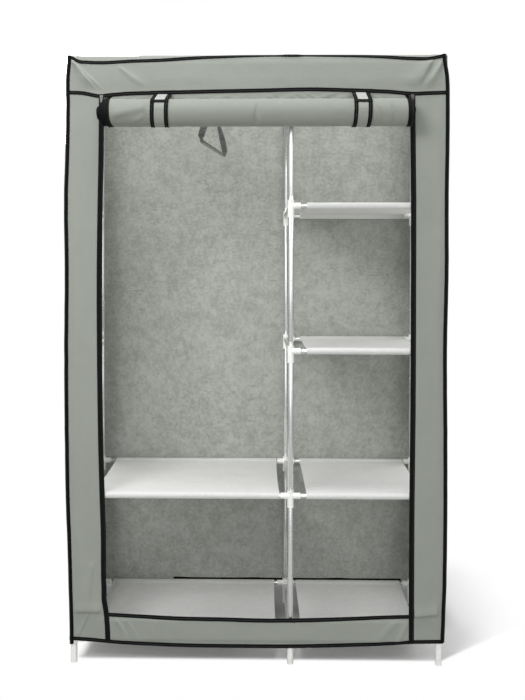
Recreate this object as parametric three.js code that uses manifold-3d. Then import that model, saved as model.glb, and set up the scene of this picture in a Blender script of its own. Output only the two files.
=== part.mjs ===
// Portable fabric wardrobe: a plugged-together frame of thin steel tubes with plastic joints, cloth
// shelves, and a sewn cover whose front door is rolled up and held by two straps.
// Millimetres. +Z up, +X to the right seen from the front, the front faces -Y, feet stand on z = 0.

import * as THREE from 'three';
import { mergeVertices } from 'three/addons/utils/BufferGeometryUtils.js';
import Module from 'manifold-3d';

const wasm = await Module();
wasm.setup();

// Frame
const frameWidth = 1054; // outer post to outer post, on their axes
const frameDepth = 420; // front post to rear post, on their axes
const centrePostX = 100; // from the middle of the width
const lowestRailZ = 68;
const sectionHeight = 418; // from one rail level to the next
const sections = 4;
const tubeRadius = 8;
const tubeWall = 0.4;
const tubeSides = 10;

// Plastic joints and feet
const jointRadius = 9.2; // of the sleeve round a post
const armRadius = 8.9; // of the arms that take the rails
const jointArm = 28; // from the post axis to the arm's mouth
const jointSleeveDown = 33; // below the rail axis
const jointSleeveUp = 16; // above the rail axis
const jointTopUp = 10; // above the top rail axis
const jointWeb = 10.4; // from the post axis to the floor of an arm's socket
const fitGap = 0.3; // clearance between pieces that plug together or touch
const footRadius = 9.2;
const footFloor = 4; // solid plastic under the tube's end

// Shelf cloths, sewn into sleeves that the rails pass through
const shelfCloth = 1.1;
const shelfSag = 5;
const leftShelfInsets = [56, 33]; // from the bay's two post axes to the sleeve's ends
const rightShelfInsets = [46, 28];
const sleeveArcSteps = 10;
const shelfSagSteps = 4;

// Cover
const coverCloth = 1.2;
const topCrown = 6; // rise of the top panel's middle, which clears a hanger's hook
const cornerBow = 9; // how far the corner seams stand out at mid height
const sideBelly = 5; // further swell of the side panels between their seams
const sideHemRise = 5; // hems are measured up from the lowest rails' axis
const rearHemRise = 2;
const frontStripWidth = 92.7; // from the corner seam in to the zip's centre line
const leftZipBow = 8; // outward bow of the left zip at mid height
const zipWidth = 15;
const zipTopGap = 2; // from the header seam down to the end of a zip tape
const headerHeight = 99.3; // in the middle
const headerCornerHeight = 112.3; // at the two ends of the door opening
const headerEdgeHeight = 105.3; // at the outer edges
const stripHeight = 76; // of the bottom strip at its ends
const stripTopDip = 13;
const stripHemDip = 14;
const foldHeight = 3; // the header's diagonal tension folds
const foldReachShare = 3; // how far they run inwards, in widths of a front strip
const foldWidthShare = 0.35;
const foldFootShares = [0.35, 0.8]; // where each fold's foot lies along that reach
const rearFoldHeight = 4;
const rearFoldWidth = 46;

// Door, rolled up under the header
const rollRadius = 41;
const rollDrop = 71; // from the header seam down to the roll's axis
const rollOverhang = 1; // past the zips' centre lines
const rollTurns = 3;
const rollPitch = 7;
const doorCloth = 1.8;
const rollStepsPerTurn = 14;
const leaderInset = 11; // inside the zips' centre lines
const leaderOverlap = 10; // how far the door is sewn up over the header

// Straps that hold the roll
const strapWidth = 50;
const strapCloth = 1.6;
const strapXShares = [-0.6, 0.66]; // left and right, of the opening's half width
const strapGap = 0.6; // between the roll and a strap
const strapSteps = 7;
const strapSplitDeg = 177; // the fixed half ends here: 180 is the roll's front, 270 its underside
const strapTailEndDeg = 328;

// Zip sliders
const sliderWidth = 10;
const sliderHeight = 15;
const sliderDepth = 3.4;
const sliderDrop = 6; // from the tape's end down to the slider's middle
const pullWidth = 5;
const pullLength = 21;
const pullDepth = 1.4;

// Hanger on the left bay's rail
const hangerXShare = 0.6252; // along the left bay, from its outer post
const hangerTurnDeg = -7.5;
const hangerRoom = 10; // from a shoulder's end to the posts' plane
const hangerBarDrop = 222; // from the rail's axis to the middle of the trouser bar
const hangerNeckDrop = 95;
const hangerTipRise = 28; // from the bar up to the shoulder's end
const hangerSection = 9; // width of the moulded section seen from the front
const hangerThickness = 9;
const shoulderShares = [[0.6, 0.42], [0.22, 0.86]]; // points of a shoulder: of the span, and of its rise
const neckInsetShare = 1.4; // the moulding is this much deeper under the neck
const hookWire = 2; // wire radius
const hookInner = 11; // clear radius of the hook's bend
const hookSides = 6;
const hookSteps = 10;
const hookFromDeg = -60; // where the shank runs into the bend: 0 is towards the rear, 90 is the top
const hookToDeg = 205;
const neckRadius = 6;
const neckHeight = 20;

// Worked out from the sizes above
const halfWidth = frameWidth / 2;
const halfDepth = frameDepth / 2;
const postX = { left: -halfWidth, centre: centrePostX, right: halfWidth };
const postY = { front: -halfDepth, rear: halfDepth };
const levelZ = (level) => lowestRailZ + level * sectionHeight;
const topZ = levelZ(sections);
const footTopZ = lowestRailZ - jointSleeveDown - fitGap;
const postTopZ = topZ + jointTopUp - fitGap;
const socketRadius = tubeRadius + fitGap;
const coverX = halfWidth + jointRadius + fitGap + coverCloth; // outer face at the corner seams, unbowed
const coverY = halfDepth + jointRadius + fitGap + coverCloth; // outer face of the front and rear
const openingHalfWidth = coverX - frontStripWidth; // from the middle to the zip's centre line
const innerEdgeX = coverCloth + fitGap; // front and rear panels stop this far inside the corner
const doorY = coverY + fitGap; // the door's rear face hangs against the front of the cover
const rollY = -(doorY + rollRadius);
const stripInnerX = openingHalfWidth + zipWidth / 2 + fitGap;
const strapRadius = rollRadius + strapGap;
const tailFromDeg = strapSplitDeg + THREE.MathUtils.radToDeg((2 * fitGap) / strapRadius);

const coverTop = topZ + jointTopUp + fitGap; // inner face of the top panel at its edges
const sideHemZ = lowestRailZ + sideHemRise;
const rearHemZ = lowestRailZ + rearHemRise;
const stripHemEdgeZ = lowestRailZ;
const stripTopEdgeZ = stripHemEdgeZ + stripHeight;
const headerSeamMiddleZ = coverTop - headerHeight;
const headerSeamCornerZ = coverTop - headerCornerHeight;
const headerSeamEdgeZ = coverTop - headerEdgeHeight;
const zipTopZ = headerSeamCornerZ - zipTopGap;
const sliderZ = zipTopZ - sliderDrop;
const rollZ = headerSeamMiddleZ - rollDrop;
const rollHalfWidth = openingHalfWidth + rollOverhang;
const leaderHalfWidth = openingHalfWidth - leaderInset;
const leaderTopZ = headerSeamMiddleZ + leaderOverlap;
const [leftStrapX, rightStrapX] = strapXShares.map((share) => share * openingHalfWidth);
const hangerX = THREE.MathUtils.lerp(postX.left, postX.centre, hangerXShare);
const hangerHalfSpan = halfDepth - hangerRoom;
const hangerBarZ = topZ - hangerBarDrop;
const hangerNeckZ = topZ - hangerNeckDrop;

const bays = {
  left: {
    from: postX.left,
    to: postX.centre,
    levels: [0, 1, sections],
    shelves: [0, 1],
    insets: leftShelfInsets,
  },
  right: {
    from: postX.centre,
    to: postX.right,
    levels: [0, 1, 2, 3, sections],
    shelves: [0, 1, 2, 3],
    insets: rightShelfInsets,
  },
};

const finishes = {
  tube: { color: 0xd9dad8, roughness: 0.25, metalness: 0.85 },
  plastic: { color: 0xefefed, roughness: 0.45, metalness: 0 },
  cover: { color: 0xa3a8a2, roughness: 0.9, metalness: 0 },
  rear: { color: 0x9fa29c, roughness: 0.95, metalness: 0 },
  shelf: { color: 0xdcdcd8, roughness: 0.9, metalness: 0 },
  binding: { color: 0x1e1f1e, roughness: 0.8, metalness: 0 },
  slider: { color: 0xd0d2d2, roughness: 0.3, metalness: 0.9 },
  hanger: { color: 0x6e706d, roughness: 0.5, metalness: 0 },
};

const wardrobe = new THREE.Group();

// Geometry helpers

function bare(geometry) {
  const copy = geometry.clone();
  copy.deleteAttribute('normal');
  copy.deleteAttribute('uv');
  return mergeVertices(copy);
}

function volumeOf(geometry) {
  const p = geometry.attributes.position;
  const corners = [new THREE.Vector3(), new THREE.Vector3(), new THREE.Vector3()];
  let sum = 0;
  for (let i = 0; i < geometry.index.count; i += 3) {
    corners.forEach((corner, k) => corner.fromBufferAttribute(p, geometry.index.getX(i + k)));
    sum += corners[0].dot(corners[1].clone().cross(corners[2])) / 6;
  }
  return sum;
}

// A merged copy whose faces point outwards.
function outward(geometry) {
  const merged = bare(geometry);
  if (volumeOf(merged) < 0) {
    const index = merged.index;
    for (let i = 0; i < index.count; i += 3) {
      const first = index.getX(i);
      index.setX(i, index.getX(i + 1));
      index.setX(i + 1, first);
    }
  }
  return merged;
}

function toSolid(geometry) {
  const merged = outward(geometry);
  const mesh = new wasm.Mesh({
    numProp: 3,
    vertProperties: new Float32Array(merged.attributes.position.array),
    triVerts: new Uint32Array(merged.index.array),
  });
  return new wasm.Manifold(mesh);
}

function fromSolid(solid) {
  const mesh = solid.getMesh();
  const geometry = new THREE.BufferGeometry();
  geometry.setAttribute('position', new THREE.BufferAttribute(mesh.vertProperties, mesh.numProp));
  geometry.setIndex(new THREE.BufferAttribute(mesh.triVerts, 1));
  return geometry;
}

const joinAll = (solids) => solids.reduce((sum, next) => sum.add(next));
const cutAll = (solid, tools) => tools.reduce((rest, tool) => rest.subtract(tool), solid);

// A round bar between the points a and b, whose section's flats face alike for every radius.
function bar(a, b, radius) {
  const span = b.clone().sub(a);
  const geometry = new THREE.CylinderGeometry(radius, radius, span.length(), tubeSides);
  const up = new THREE.Vector3(0, 1, 0);
  geometry.applyQuaternion(new THREE.Quaternion().setFromUnitVectors(up, span.normalize()));
  const middle = a.clone().add(b).multiplyScalar(0.5);
  return geometry.translate(middle.x, middle.y, middle.z);
}

const v3 = (x, y, z) => new THREE.Vector3(x, y, z);

// A closed sheet of cloth: the outer face follows point(u, v), and the inner face lies at the offset.
function sheet(columns, rows, point, offset) {
  const positions = [];
  const index = [];
  const layer = (columns + 1) * (rows + 1);
  for (let side = 0; side < 2; side += 1) {
    for (let j = 0; j <= rows; j += 1) {
      for (let i = 0; i <= columns; i += 1) {
        const p = point(i / columns, j / rows).addScaledVector(offset, side);
        positions.push(p.x, p.y, p.z);
      }
    }
  }
  const at = (side, i, j) => side * layer + j * (columns + 1) + i;
  const quad = (a, b, c, d) => index.push(a, b, c, a, c, d);
  for (let j = 0; j < rows; j += 1) {
    for (let i = 0; i < columns; i += 1) {
      quad(at(0, i, j), at(0, i + 1, j), at(0, i + 1, j + 1), at(0, i, j + 1));
      quad(at(1, i, j), at(1, i, j + 1), at(1, i + 1, j + 1), at(1, i + 1, j));
    }
  }
  for (let i = 0; i < columns; i += 1) {
    quad(at(0, i + 1, 0), at(0, i, 0), at(1, i, 0), at(1, i + 1, 0));
    quad(at(0, i, rows), at(0, i + 1, rows), at(1, i + 1, rows), at(1, i, rows));
  }
  for (let j = 0; j < rows; j += 1) {
    quad(at(0, 0, j), at(0, 0, j + 1), at(1, 0, j + 1), at(1, 0, j));
    quad(at(0, columns, j + 1), at(0, columns, j), at(1, columns, j), at(1, columns, j + 1));
  }
  const geometry = new THREE.BufferGeometry();
  geometry.setAttribute('position', new THREE.Float32BufferAttribute(positions, 3));
  geometry.setIndex(index);
  return geometry;
}

// An outline in the YZ plane, as [y, z] points, extruded from x0 to x1.
function extrudeX(outline, x0, x1, holes = []) {
  const shape = new THREE.Shape(outline.map(([y, z]) => new THREE.Vector2(y, z)));
  holes.forEach((hole) => shape.holes.push(new THREE.Path(hole.map(([y, z]) => new THREE.Vector2(y, z)))));
  const geometry = new THREE.ExtrudeGeometry(shape, { depth: x1 - x0, bevelEnabled: false, steps: 1 });
  const turn = new THREE.Matrix4().makeBasis(v3(0, 1, 0), v3(0, 0, 1), v3(1, 0, 0));
  return geometry.applyMatrix4(turn).translate(x0, 0, 0);
}

const degrees = THREE.MathUtils.degToRad;

// Points of an arc in the YZ plane, both ends included.
function arc(y, z, radius, fromDeg, toDeg, steps) {
  return Array.from({ length: steps + 1 }, (_, i) => {
    const angle = degrees(fromDeg + ((toDeg - fromDeg) * i) / steps);
    return [y + radius * Math.cos(angle), z + radius * Math.sin(angle)];
  });
}

function addPiece(name, geometry, finish) {
  const closed = outward(geometry);
  closed.computeVertexNormals();
  const material = new THREE.MeshStandardMaterial({ ...finishes[finish], flatShading: true });
  const mesh = new THREE.Mesh(closed, material);
  mesh.name = name;
  wardrobe.add(mesh);
}

// Posts: a thin-walled tube open at the top, standing in a plastic foot cap.
function post(x, y) {
  const outline = [
    [0, 0],
    [footRadius, 0],
    [footRadius, footTopZ],
    [tubeRadius, footTopZ],
    [tubeRadius, postTopZ],
    [tubeRadius - tubeWall, postTopZ],
    [tubeRadius - tubeWall, footFloor],
    [0, footFloor],
  ].map(([r, z]) => new THREE.Vector2(r, z));
  const geometry = new THREE.LatheGeometry(outline, tubeSides).rotateX(Math.PI / 2);
  return geometry.translate(x, y, 0);
}

// Rungs: the depth bar of one level with its front and rear joints, which have sockets for the rails.
function rung(x, z, arms, hangingRailArm) {
  const isTop = z === topZ;
  const up = isTop ? jointTopUp : jointSleeveUp;
  const solids = [];
  const bores = [];
  for (const y of Object.values(postY)) {
    const [lowZ, highZ] = [z - jointSleeveDown, z + up];
    solids.push(toSolid(bar(v3(x, y, lowZ), v3(x, y, highZ), jointRadius)));
    bores.push(toSolid(bar(v3(x, y, lowZ - fitGap), v3(x, y, highZ + fitGap), socketRadius)));
    const inward = -Math.sign(y);
    solids.push(toSolid(bar(v3(x, y, z), v3(x, y + inward * jointArm, z), armRadius)));
    for (const side of arms) {
      solids.push(toSolid(bar(v3(x, y, z), v3(x + side * jointArm, y, z), armRadius)));
      const floor = v3(x + side * jointWeb, y, z);
      const past = v3(x + side * (jointArm + fitGap), y, z);
      bores.push(toSolid(bar(floor, past, socketRadius)));
    }
  }
  solids.push(toSolid(bar(v3(x, postY.front, z), v3(x, postY.rear, z), tubeRadius)));
  if (hangingRailArm) {
    const mouth = x + hangingRailArm * jointArm;
    const web = x + hangingRailArm * jointWeb;
    solids.push(toSolid(bar(v3(x, 0, z), v3(mouth, 0, z), armRadius)));
    solids.push(toSolid(bar(v3(x, -jointSleeveUp, z), v3(x, jointSleeveUp, z), jointRadius)));
    bores.push(toSolid(bar(v3(web, 0, z), v3(mouth + hangingRailArm * fitGap, 0, z), socketRadius)));
  }
  return fromSolid(cutAll(joinAll(solids), bores));
}

// Rails: a thin-walled tube along X whose ends lie in two sockets.
function rail(from, to, y, z) {
  const length = to - from - 2 * (jointWeb + fitGap);
  const inner = tubeRadius - tubeWall;
  const outline = [
    [inner, 0],
    [tubeRadius, 0],
    [tubeRadius, length],
    [inner, length],
    [inner, 0],
  ].map(([r, along]) => new THREE.Vector2(r, along));
  const geometry = new THREE.LatheGeometry(outline, tubeSides).rotateZ(-Math.PI / 2);
  return geometry.translate(from + jointWeb + fitGap, y, z);
}

// Shelf cloths: a slightly sagging sheet on top, sewn round the front and rear rails.
function shelf(bay, level) {
  const outer = socketRadius + shelfCloth;
  const under = outer - shelfCloth;
  const meet = THREE.MathUtils.radToDeg(Math.asin(under / outer));
  const z = levelZ(level);
  const sagged = (share, height) => {
    const y = THREE.MathUtils.lerp(postY.front, postY.rear, share);
    return [y, z + height - shelfSag * 4 * share * (1 - share)];
  };
  const between = Array.from({ length: shelfSagSteps - 1 }, (_, i) => (i + 1) / shelfSagSteps);
  const outline = [
    ...between.map((share) => sagged(share, outer)),
    ...arc(postY.rear, z, outer, 90, -180 - meet, sleeveArcSteps),
    ...between.toReversed().map((share) => sagged(share, under)),
    ...arc(postY.front, z, outer, meet, -270, sleeveArcSteps),
  ];
  const lastDeg = 450 - 360 / tubeSides;
  const holes = Object.values(postY).map((y) => arc(y, z, socketRadius, 90, lastDeg, tubeSides - 1));
  return extrudeX(outline, bay.from + bay.insets[0], bay.to - bay.insets[1], holes);
}

// Cover

const heightShare = (z) => THREE.MathUtils.clamp((z - sideHemZ) / (coverTop - sideHemZ), 0, 1);
const bulge = (share) => Math.sin(Math.PI * share);
const seamX = (z) => coverX + cornerBow * bulge(heightShare(z));
const ridge = (distance, width) => Math.exp(-((distance / width) ** 2));

// The header's lower edge: lowest at the two ends of the door opening.
function headerSeamZ(x) {
  const across = Math.abs(x) / openingHalfWidth;
  if (across <= 1) {
    return THREE.MathUtils.lerp(headerSeamMiddleZ, headerSeamCornerZ, across ** 2);
  }
  const outwards = (Math.abs(x) - openingHalfWidth) / (coverX - openingHalfWidth);
  return THREE.MathUtils.lerp(headerSeamCornerZ, headerSeamEdgeZ, Math.min(outwards, 1));
}


// A zip's centre line: only the left one bows.
function zipX(side, z) {
  const bow = side < 0 ? leftZipBow * (bulge(heightShare(z)) - 0.5) : 0;
  return side * (openingHalfWidth + bow);
}

const coverSheetEdge = (z) => seamX(z) - innerEdgeX;
const headerTopZ = coverTop - fitGap;

function header() {
  const footZ = leaderTopZ + fitGap;
  const surface = (u, v) => {
    const topX = THREE.MathUtils.lerp(-1, 1, u) * coverSheetEdge(headerTopZ);
    const z = THREE.MathUtils.lerp(headerSeamZ(topX) + fitGap, headerTopZ, v);
    const x = THREE.MathUtils.lerp(-1, 1, u) * coverSheetEdge(z);
    const run = (coverX - Math.abs(x)) / (coverX - openingHalfWidth);
    const rise = THREE.MathUtils.clamp((z - footZ) / (headerTopZ - footZ), 0, 1);
    const fade = bulge(rise) * bulge(THREE.MathUtils.clamp(run / foldReachShare, 0, 1));
    const foldAt = (share) => ridge(run - (1 - rise) * foldReachShare * share, foldWidthShare);
    const folds = foldFootShares.reduce((sum, share) => sum + foldAt(share), 0);
    return v3(x, -coverY - foldHeight * fade * folds, z);
  };
  const cloth = toSolid(sheet(26, 5, surface, v3(0, coverCloth, 0)));
  return fromSolid(joinAll([cloth, ...[leftStrapX, rightStrapX].map((x) => toSolid(strapHalf(x)))]));
}

// The fixed half of a strap: from the header seam straight down to the roll, then round to the roll's front.
function strapHalf(x) {
  const hangY = -doorY - doorCloth - fitGap;
  const seamZ = leaderTopZ + fitGap;
  const [dy, dz] = [hangY - rollY, seamZ - rollZ];
  const touch = Math.atan2(dz, dy) + Math.acos(strapRadius / Math.hypot(dy, dz));
  const touchDeg = THREE.MathUtils.radToDeg(touch);
  const outline = [
    [-coverY + coverCloth / 2, seamZ + strapCloth],
    [hangY - strapCloth, seamZ + strapCloth],
    ...arc(rollY, rollZ, strapRadius + strapCloth, touchDeg, strapSplitDeg, strapSteps),
    ...arc(rollY, rollZ, strapRadius, strapSplitDeg, touchDeg, strapSteps),
    [hangY, seamZ],
    [-coverY + coverCloth / 2, seamZ],
  ];
  return extrudeX(outline, x - strapWidth / 2, x + strapWidth / 2);
}

// The loose half: from the roll's front round its underside, where it is fastened behind.
function strapTail(x) {
  const outline = [
    ...arc(rollY, rollZ, strapRadius, tailFromDeg, strapTailEndDeg, 2 * strapSteps),
    ...arc(rollY, rollZ, strapRadius + strapCloth, strapTailEndDeg, tailFromDeg, 2 * strapSteps),
  ];
  return extrudeX(outline, x - strapWidth / 2, x + strapWidth / 2);
}

// The rolled door: one spiral of cloth whose outer end hangs from the header.
function doorRoll() {
  const total = rollTurns * rollStepsPerTurn;
  const spiral = (inset) =>
    Array.from({ length: total + 1 }, (_, i) => {
      const turn = i / rollStepsPerTurn;
      const radius = rollRadius - rollPitch * turn - inset;
      const angle = -2 * Math.PI * turn;
      return [rollY + radius * Math.cos(angle), rollZ + radius * Math.sin(angle)];
    });
  const roll = extrudeX([...spiral(0), ...spiral(doorCloth).toReversed()], -rollHalfWidth, rollHalfWidth);
  const leader = new THREE.BoxGeometry(2 * leaderHalfWidth, doorCloth, leaderTopZ - rollZ + doorCloth);
  leader.translate(0, rollY + rollRadius - doorCloth / 2, (leaderTopZ + rollZ - doorCloth) / 2);
  return fromSolid(toSolid(roll).add(toSolid(leader)));
}

function frontStrip(side) {
  const surface = (u, v) => {
    const topX = side * THREE.MathUtils.lerp(stripInnerX, coverX, u);
    const z = THREE.MathUtils.lerp(sideHemZ, headerSeamZ(topX) - fitGap, v);
    const inner = Math.abs(zipX(side, z)) + zipWidth / 2 + fitGap;
    return v3(side * THREE.MathUtils.lerp(inner, coverSheetEdge(z), u), -coverY, z);
  };
  return sheet(2, 12, surface, v3(0, coverCloth, 0));
}

function zipTape(side) {
  const surface = (u, v) => {
    const z = THREE.MathUtils.lerp(sideHemZ - fitGap, zipTopZ - fitGap, v);
    return v3(zipX(side, z) + (u - 0.5) * zipWidth, -coverY, z);
  };
  return sheet(1, 12, surface, v3(0, coverCloth, 0));
}

function bottomStrip() {
  const surface = (u, v) => {
    const spread = THREE.MathUtils.lerp(-1, 1, u);
    const dip = 1 - spread ** 2;
    const z = THREE.MathUtils.lerp(stripHemEdgeZ - stripHemDip * dip, stripTopEdgeZ - stripTopDip * dip, v);
    const left = zipX(-1, z) + zipWidth / 2 + fitGap;
    const right = zipX(1, z) - zipWidth / 2 - fitGap;
    return v3(THREE.MathUtils.lerp(left, right, u), -coverY, z);
  };
  return sheet(16, 2, surface, v3(0, coverCloth, 0));
}

function sidePanel(side) {
  const surface = (u, v) => {
    const y = THREE.MathUtils.lerp(-coverY, coverY, u);
    const z = THREE.MathUtils.lerp(sideHemZ, coverTop - fitGap, v);
    return v3(side * (seamX(z) + sideBelly * bulge(u) * bulge(v)), y, z);
  };
  return sheet(6, 12, surface, v3(-side * coverCloth, 0, 0));
}

function rearPanel() {
  const foldXShares = [-0.515, -0.01, 0.51]; // of the half width
  const surface = (u, v) => {
    const z = THREE.MathUtils.lerp(rearHemZ, coverTop - fitGap, v);
    const x = THREE.MathUtils.lerp(-1, 1, u) * coverSheetEdge(z);
    const folds = foldXShares.reduce((sum, share) => sum + ridge(x - share * coverX, rearFoldWidth), 0);
    return v3(x, coverY + rearFoldHeight * folds * bulge(u) ** 0.5 * (1 - v), z);
  };
  return sheet(18, 5, surface, v3(0, -coverCloth, 0));
}

function topPanel() {
  const surface = (u, v) => {
    const x = THREE.MathUtils.lerp(-coverX, coverX, u);
    const y = THREE.MathUtils.lerp(-coverY, coverY, v);
    const rise = topCrown * bulge(v) * bulge(u) ** 0.35;
    return v3(x, y, coverTop + coverCloth + rise);
  };
  return sheet(8, 6, surface, v3(0, 0, -coverCloth));
}

// Zip slider with its pull hanging in front.
function slider(side) {
  const x = zipX(side, sliderZ);
  const back = -coverY - fitGap;
  const body = new THREE.BoxGeometry(sliderWidth, sliderDepth, sliderHeight);
  body.translate(x, back - sliderDepth / 2, sliderZ);
  const pull = new THREE.BoxGeometry(pullWidth, pullDepth, pullLength);
  const pullZ = sliderZ - sliderHeight / 2 - pullLength / 2 + pullWidth;
  pull.translate(x, back - sliderDepth / 2, pullZ);
  return fromSolid(toSolid(body).add(toSolid(pull)));
}

// The hanger's moulded loop in its own plane: s runs along the shoulders, z is up.
function hangerLoop(inset) {
  const half = hangerHalfSpan - inset;
  const low = hangerBarZ - hangerSection / 2 + inset;
  const shoulder = hangerBarZ + hangerTipRise - inset;
  const neck = hangerNeckZ - inset * neckInsetShare;
  const corner = hangerTipRise / 2;
  const right = [
    [half - corner, low],
    [half - corner / 4, low + corner / 2],
    [half, low + corner],
    [half - corner / 4, shoulder],
    ...shoulderShares.map(([out, up]) => [half * out, THREE.MathUtils.lerp(shoulder, neck, up)]),
    [neckRadius, neck],
  ];
  return [...right, ...right.toReversed().map(([along, z]) => [-along, z])];
}

function placeHanger(geometry) {
  return geometry.rotateZ(degrees(hangerTurnDeg)).translate(hangerX, 0, 0);
}

const neckTopZ = hangerNeckZ + neckHeight;
const neckBoreRadius = hookWire + fitGap;

function hangerBody() {
  const side = hangerThickness / 2;
  const loop = extrudeX(hangerLoop(0), -side, side, [hangerLoop(hangerSection)]);
  const neck = bar(v3(0, 0, hangerNeckZ - hangerSection / 2), v3(0, 0, neckTopZ), neckRadius);
  const bore = bar(v3(0, 0, hangerNeckZ + fitGap), v3(0, 0, neckTopZ + fitGap), neckBoreRadius);
  return placeHanger(fromSolid(toSolid(loop).add(toSolid(neck)).subtract(toSolid(bore))));
}

// The wire hook: a straight shank that turns in the neck, and a bend over the rail.
function hangerHook() {
  const bend = hookInner + hookWire;
  const bendZ = topZ + tubeRadius + fitGap - hookInner;
  const points = [v3(0, 0, hangerNeckZ + 2 * fitGap), v3(0, 0, neckTopZ)];
  for (let i = 0; i <= hookSteps; i += 1) {
    const angle = degrees(THREE.MathUtils.lerp(hookFromDeg, hookToDeg, i / hookSteps));
    points.push(v3(0, bend * Math.cos(angle), bendZ + bend * Math.sin(angle)));
  }
  const path = new THREE.CatmullRomCurve3(points, false, 'centripetal');
  const ring = Array.from({ length: hookSides }, (_, i) => {
    const angle = (2 * Math.PI * i) / hookSides;
    return new THREE.Vector2(hookWire * Math.cos(angle), hookWire * Math.sin(angle));
  });
  const options = { extrudePath: path, steps: 3 * hookSteps, bevelEnabled: false };
  return placeHanger(new THREE.ExtrudeGeometry(new THREE.Shape(ring), options));
}

// Assembly

for (const [row, y] of Object.entries(postY)) {
  for (const [column, x] of Object.entries(postX)) {
    addPiece(`post_${row}_${column}`, post(x, y), 'tube');
  }
}

for (const [column, x] of Object.entries(postX)) {
  const leftLevels = column === 'right' ? [] : bays.left.levels;
  const rightLevels = column === 'left' ? [] : bays.right.levels;
  for (let level = 0; level <= sections; level += 1) {
    const arms = [];
    const towardsLeft = column === 'right' ? bays.right.levels : bays.left.levels;
    const towardsRight = column === 'left' ? bays.left.levels : bays.right.levels;
    if (column !== 'left' && towardsLeft.includes(level)) {
      arms.push(-1);
    }
    if (column !== 'right' && towardsRight.includes(level)) {
      arms.push(1);
    }
    if (leftLevels.includes(level) || rightLevels.includes(level)) {
      const carriesRail = level === sections && column !== 'right';
      const railArm = carriesRail ? (column === 'left' ? 1 : -1) : 0;
      addPiece(`rung_${column}_${level}`, rung(x, levelZ(level), arms, railArm), 'plastic');
    }
  }
}

for (const [side, bay] of Object.entries(bays)) {
  for (const level of bay.levels) {
    for (const [row, y] of Object.entries(postY)) {
      addPiece(`rail_${row}_${side}_${level}`, rail(bay.from, bay.to, y, levelZ(level)), 'tube');
    }
  }
  for (const level of bay.shelves) {
    addPiece(`shelf_${side}_${level}`, shelf(bay, level), 'shelf');
  }
}

addPiece('hanging_rail', rail(postX.left, postX.centre, 0, topZ), 'tube');

addPiece('cover_header', header(), 'cover');
addPiece('cover_front_left', frontStrip(-1), 'cover');
addPiece('cover_front_right', frontStrip(1), 'cover');
addPiece('cover_bottom_strip', bottomStrip(), 'cover');
addPiece('cover_side_left', sidePanel(-1), 'cover');
addPiece('cover_side_right', sidePanel(1), 'cover');
addPiece('cover_rear', rearPanel(), 'rear');
addPiece('cover_top', topPanel(), 'cover');
addPiece('zip_tape_left', zipTape(-1), 'binding');
addPiece('zip_tape_right', zipTape(1), 'binding');
addPiece('zip_slider_left', slider(-1), 'slider');
addPiece('zip_slider_right', slider(1), 'slider');
addPiece('door_roll', doorRoll(), 'cover');
addPiece('strap_tail_left', strapTail(leftStrapX), 'cover');
addPiece('strap_tail_right', strapTail(rightStrapX), 'cover');
addPiece('hanger_body', hangerBody(), 'hanger');
addPiece('hanger_hook', hangerHook(), 'slider');

// The straps stand furthest forward, so the whole is moved back until its depth is centred on the origin.
const frontmost = rollY - strapRadius - strapCloth;
const rearmost = coverY + rearFoldHeight;
wardrobe.position.y = -(frontmost + rearmost) / 2;

export default wardrobe;
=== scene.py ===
import math

import bpy
import numpy as np
from mathutils import Matrix, Vector, noise


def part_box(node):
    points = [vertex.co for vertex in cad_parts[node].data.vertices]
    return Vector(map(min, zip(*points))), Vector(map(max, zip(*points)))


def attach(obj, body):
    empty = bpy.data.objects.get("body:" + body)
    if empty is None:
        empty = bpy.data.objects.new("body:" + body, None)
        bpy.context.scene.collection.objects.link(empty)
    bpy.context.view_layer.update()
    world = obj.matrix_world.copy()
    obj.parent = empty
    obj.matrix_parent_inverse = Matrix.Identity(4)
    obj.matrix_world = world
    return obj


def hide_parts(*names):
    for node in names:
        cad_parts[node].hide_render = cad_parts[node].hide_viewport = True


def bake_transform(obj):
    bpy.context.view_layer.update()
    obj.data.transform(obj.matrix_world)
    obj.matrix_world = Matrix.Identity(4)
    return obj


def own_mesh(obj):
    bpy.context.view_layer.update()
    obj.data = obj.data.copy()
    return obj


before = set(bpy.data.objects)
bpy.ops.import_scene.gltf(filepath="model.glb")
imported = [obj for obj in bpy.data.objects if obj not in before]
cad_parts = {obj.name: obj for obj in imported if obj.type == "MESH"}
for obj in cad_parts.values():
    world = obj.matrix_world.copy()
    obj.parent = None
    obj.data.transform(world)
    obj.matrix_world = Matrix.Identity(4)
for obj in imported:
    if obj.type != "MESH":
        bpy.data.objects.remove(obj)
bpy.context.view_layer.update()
print("wardrobe: frame loaded")


# Places read from the frame

def middle(node):
    low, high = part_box(node)
    return (low + high) / 2


sides = {"left": -1, "right": 1}
columnX = {name: middle(f"post_front_{name}").x for name in ("left", "centre", "right")}
rowY = {name: middle(f"post_{name}_centre").y for name in ("front", "rear")}
levelZ = [middle(f"rail_front_right_{level}").z for level in range(5)]
bayLevels = {"left": (0, 1, 4), "right": (0, 1, 2, 3, 4)}
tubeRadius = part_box("hanging_rail")[1].z - middle("hanging_rail").z
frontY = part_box("cover_front_left")[0].y   # outer face of the front cloth
rearY = rowY["rear"] + rowY["front"] - frontY
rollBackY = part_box("door_roll")[1].y
strapX = {"left": middle("strap_tail_left").x, "right": middle("strap_tail_right").x + 0.0035}
alongX, alongY, alongZ = (1, 0, 0), (0, 1, 0), (0, 0, 1)


# Selecting, editing and finishing a piece

def only(piece):
    bpy.ops.object.select_all(action="DESELECT")
    piece.select_set(True)
    bpy.context.view_layer.objects.active = piece
    return piece


def start(name, operator, **settings):
    bpy.ops.object.select_all(action="DESELECT")
    operator(**settings)
    piece = bpy.context.object
    piece.name = piece.data.name = name
    return only(piece)


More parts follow.
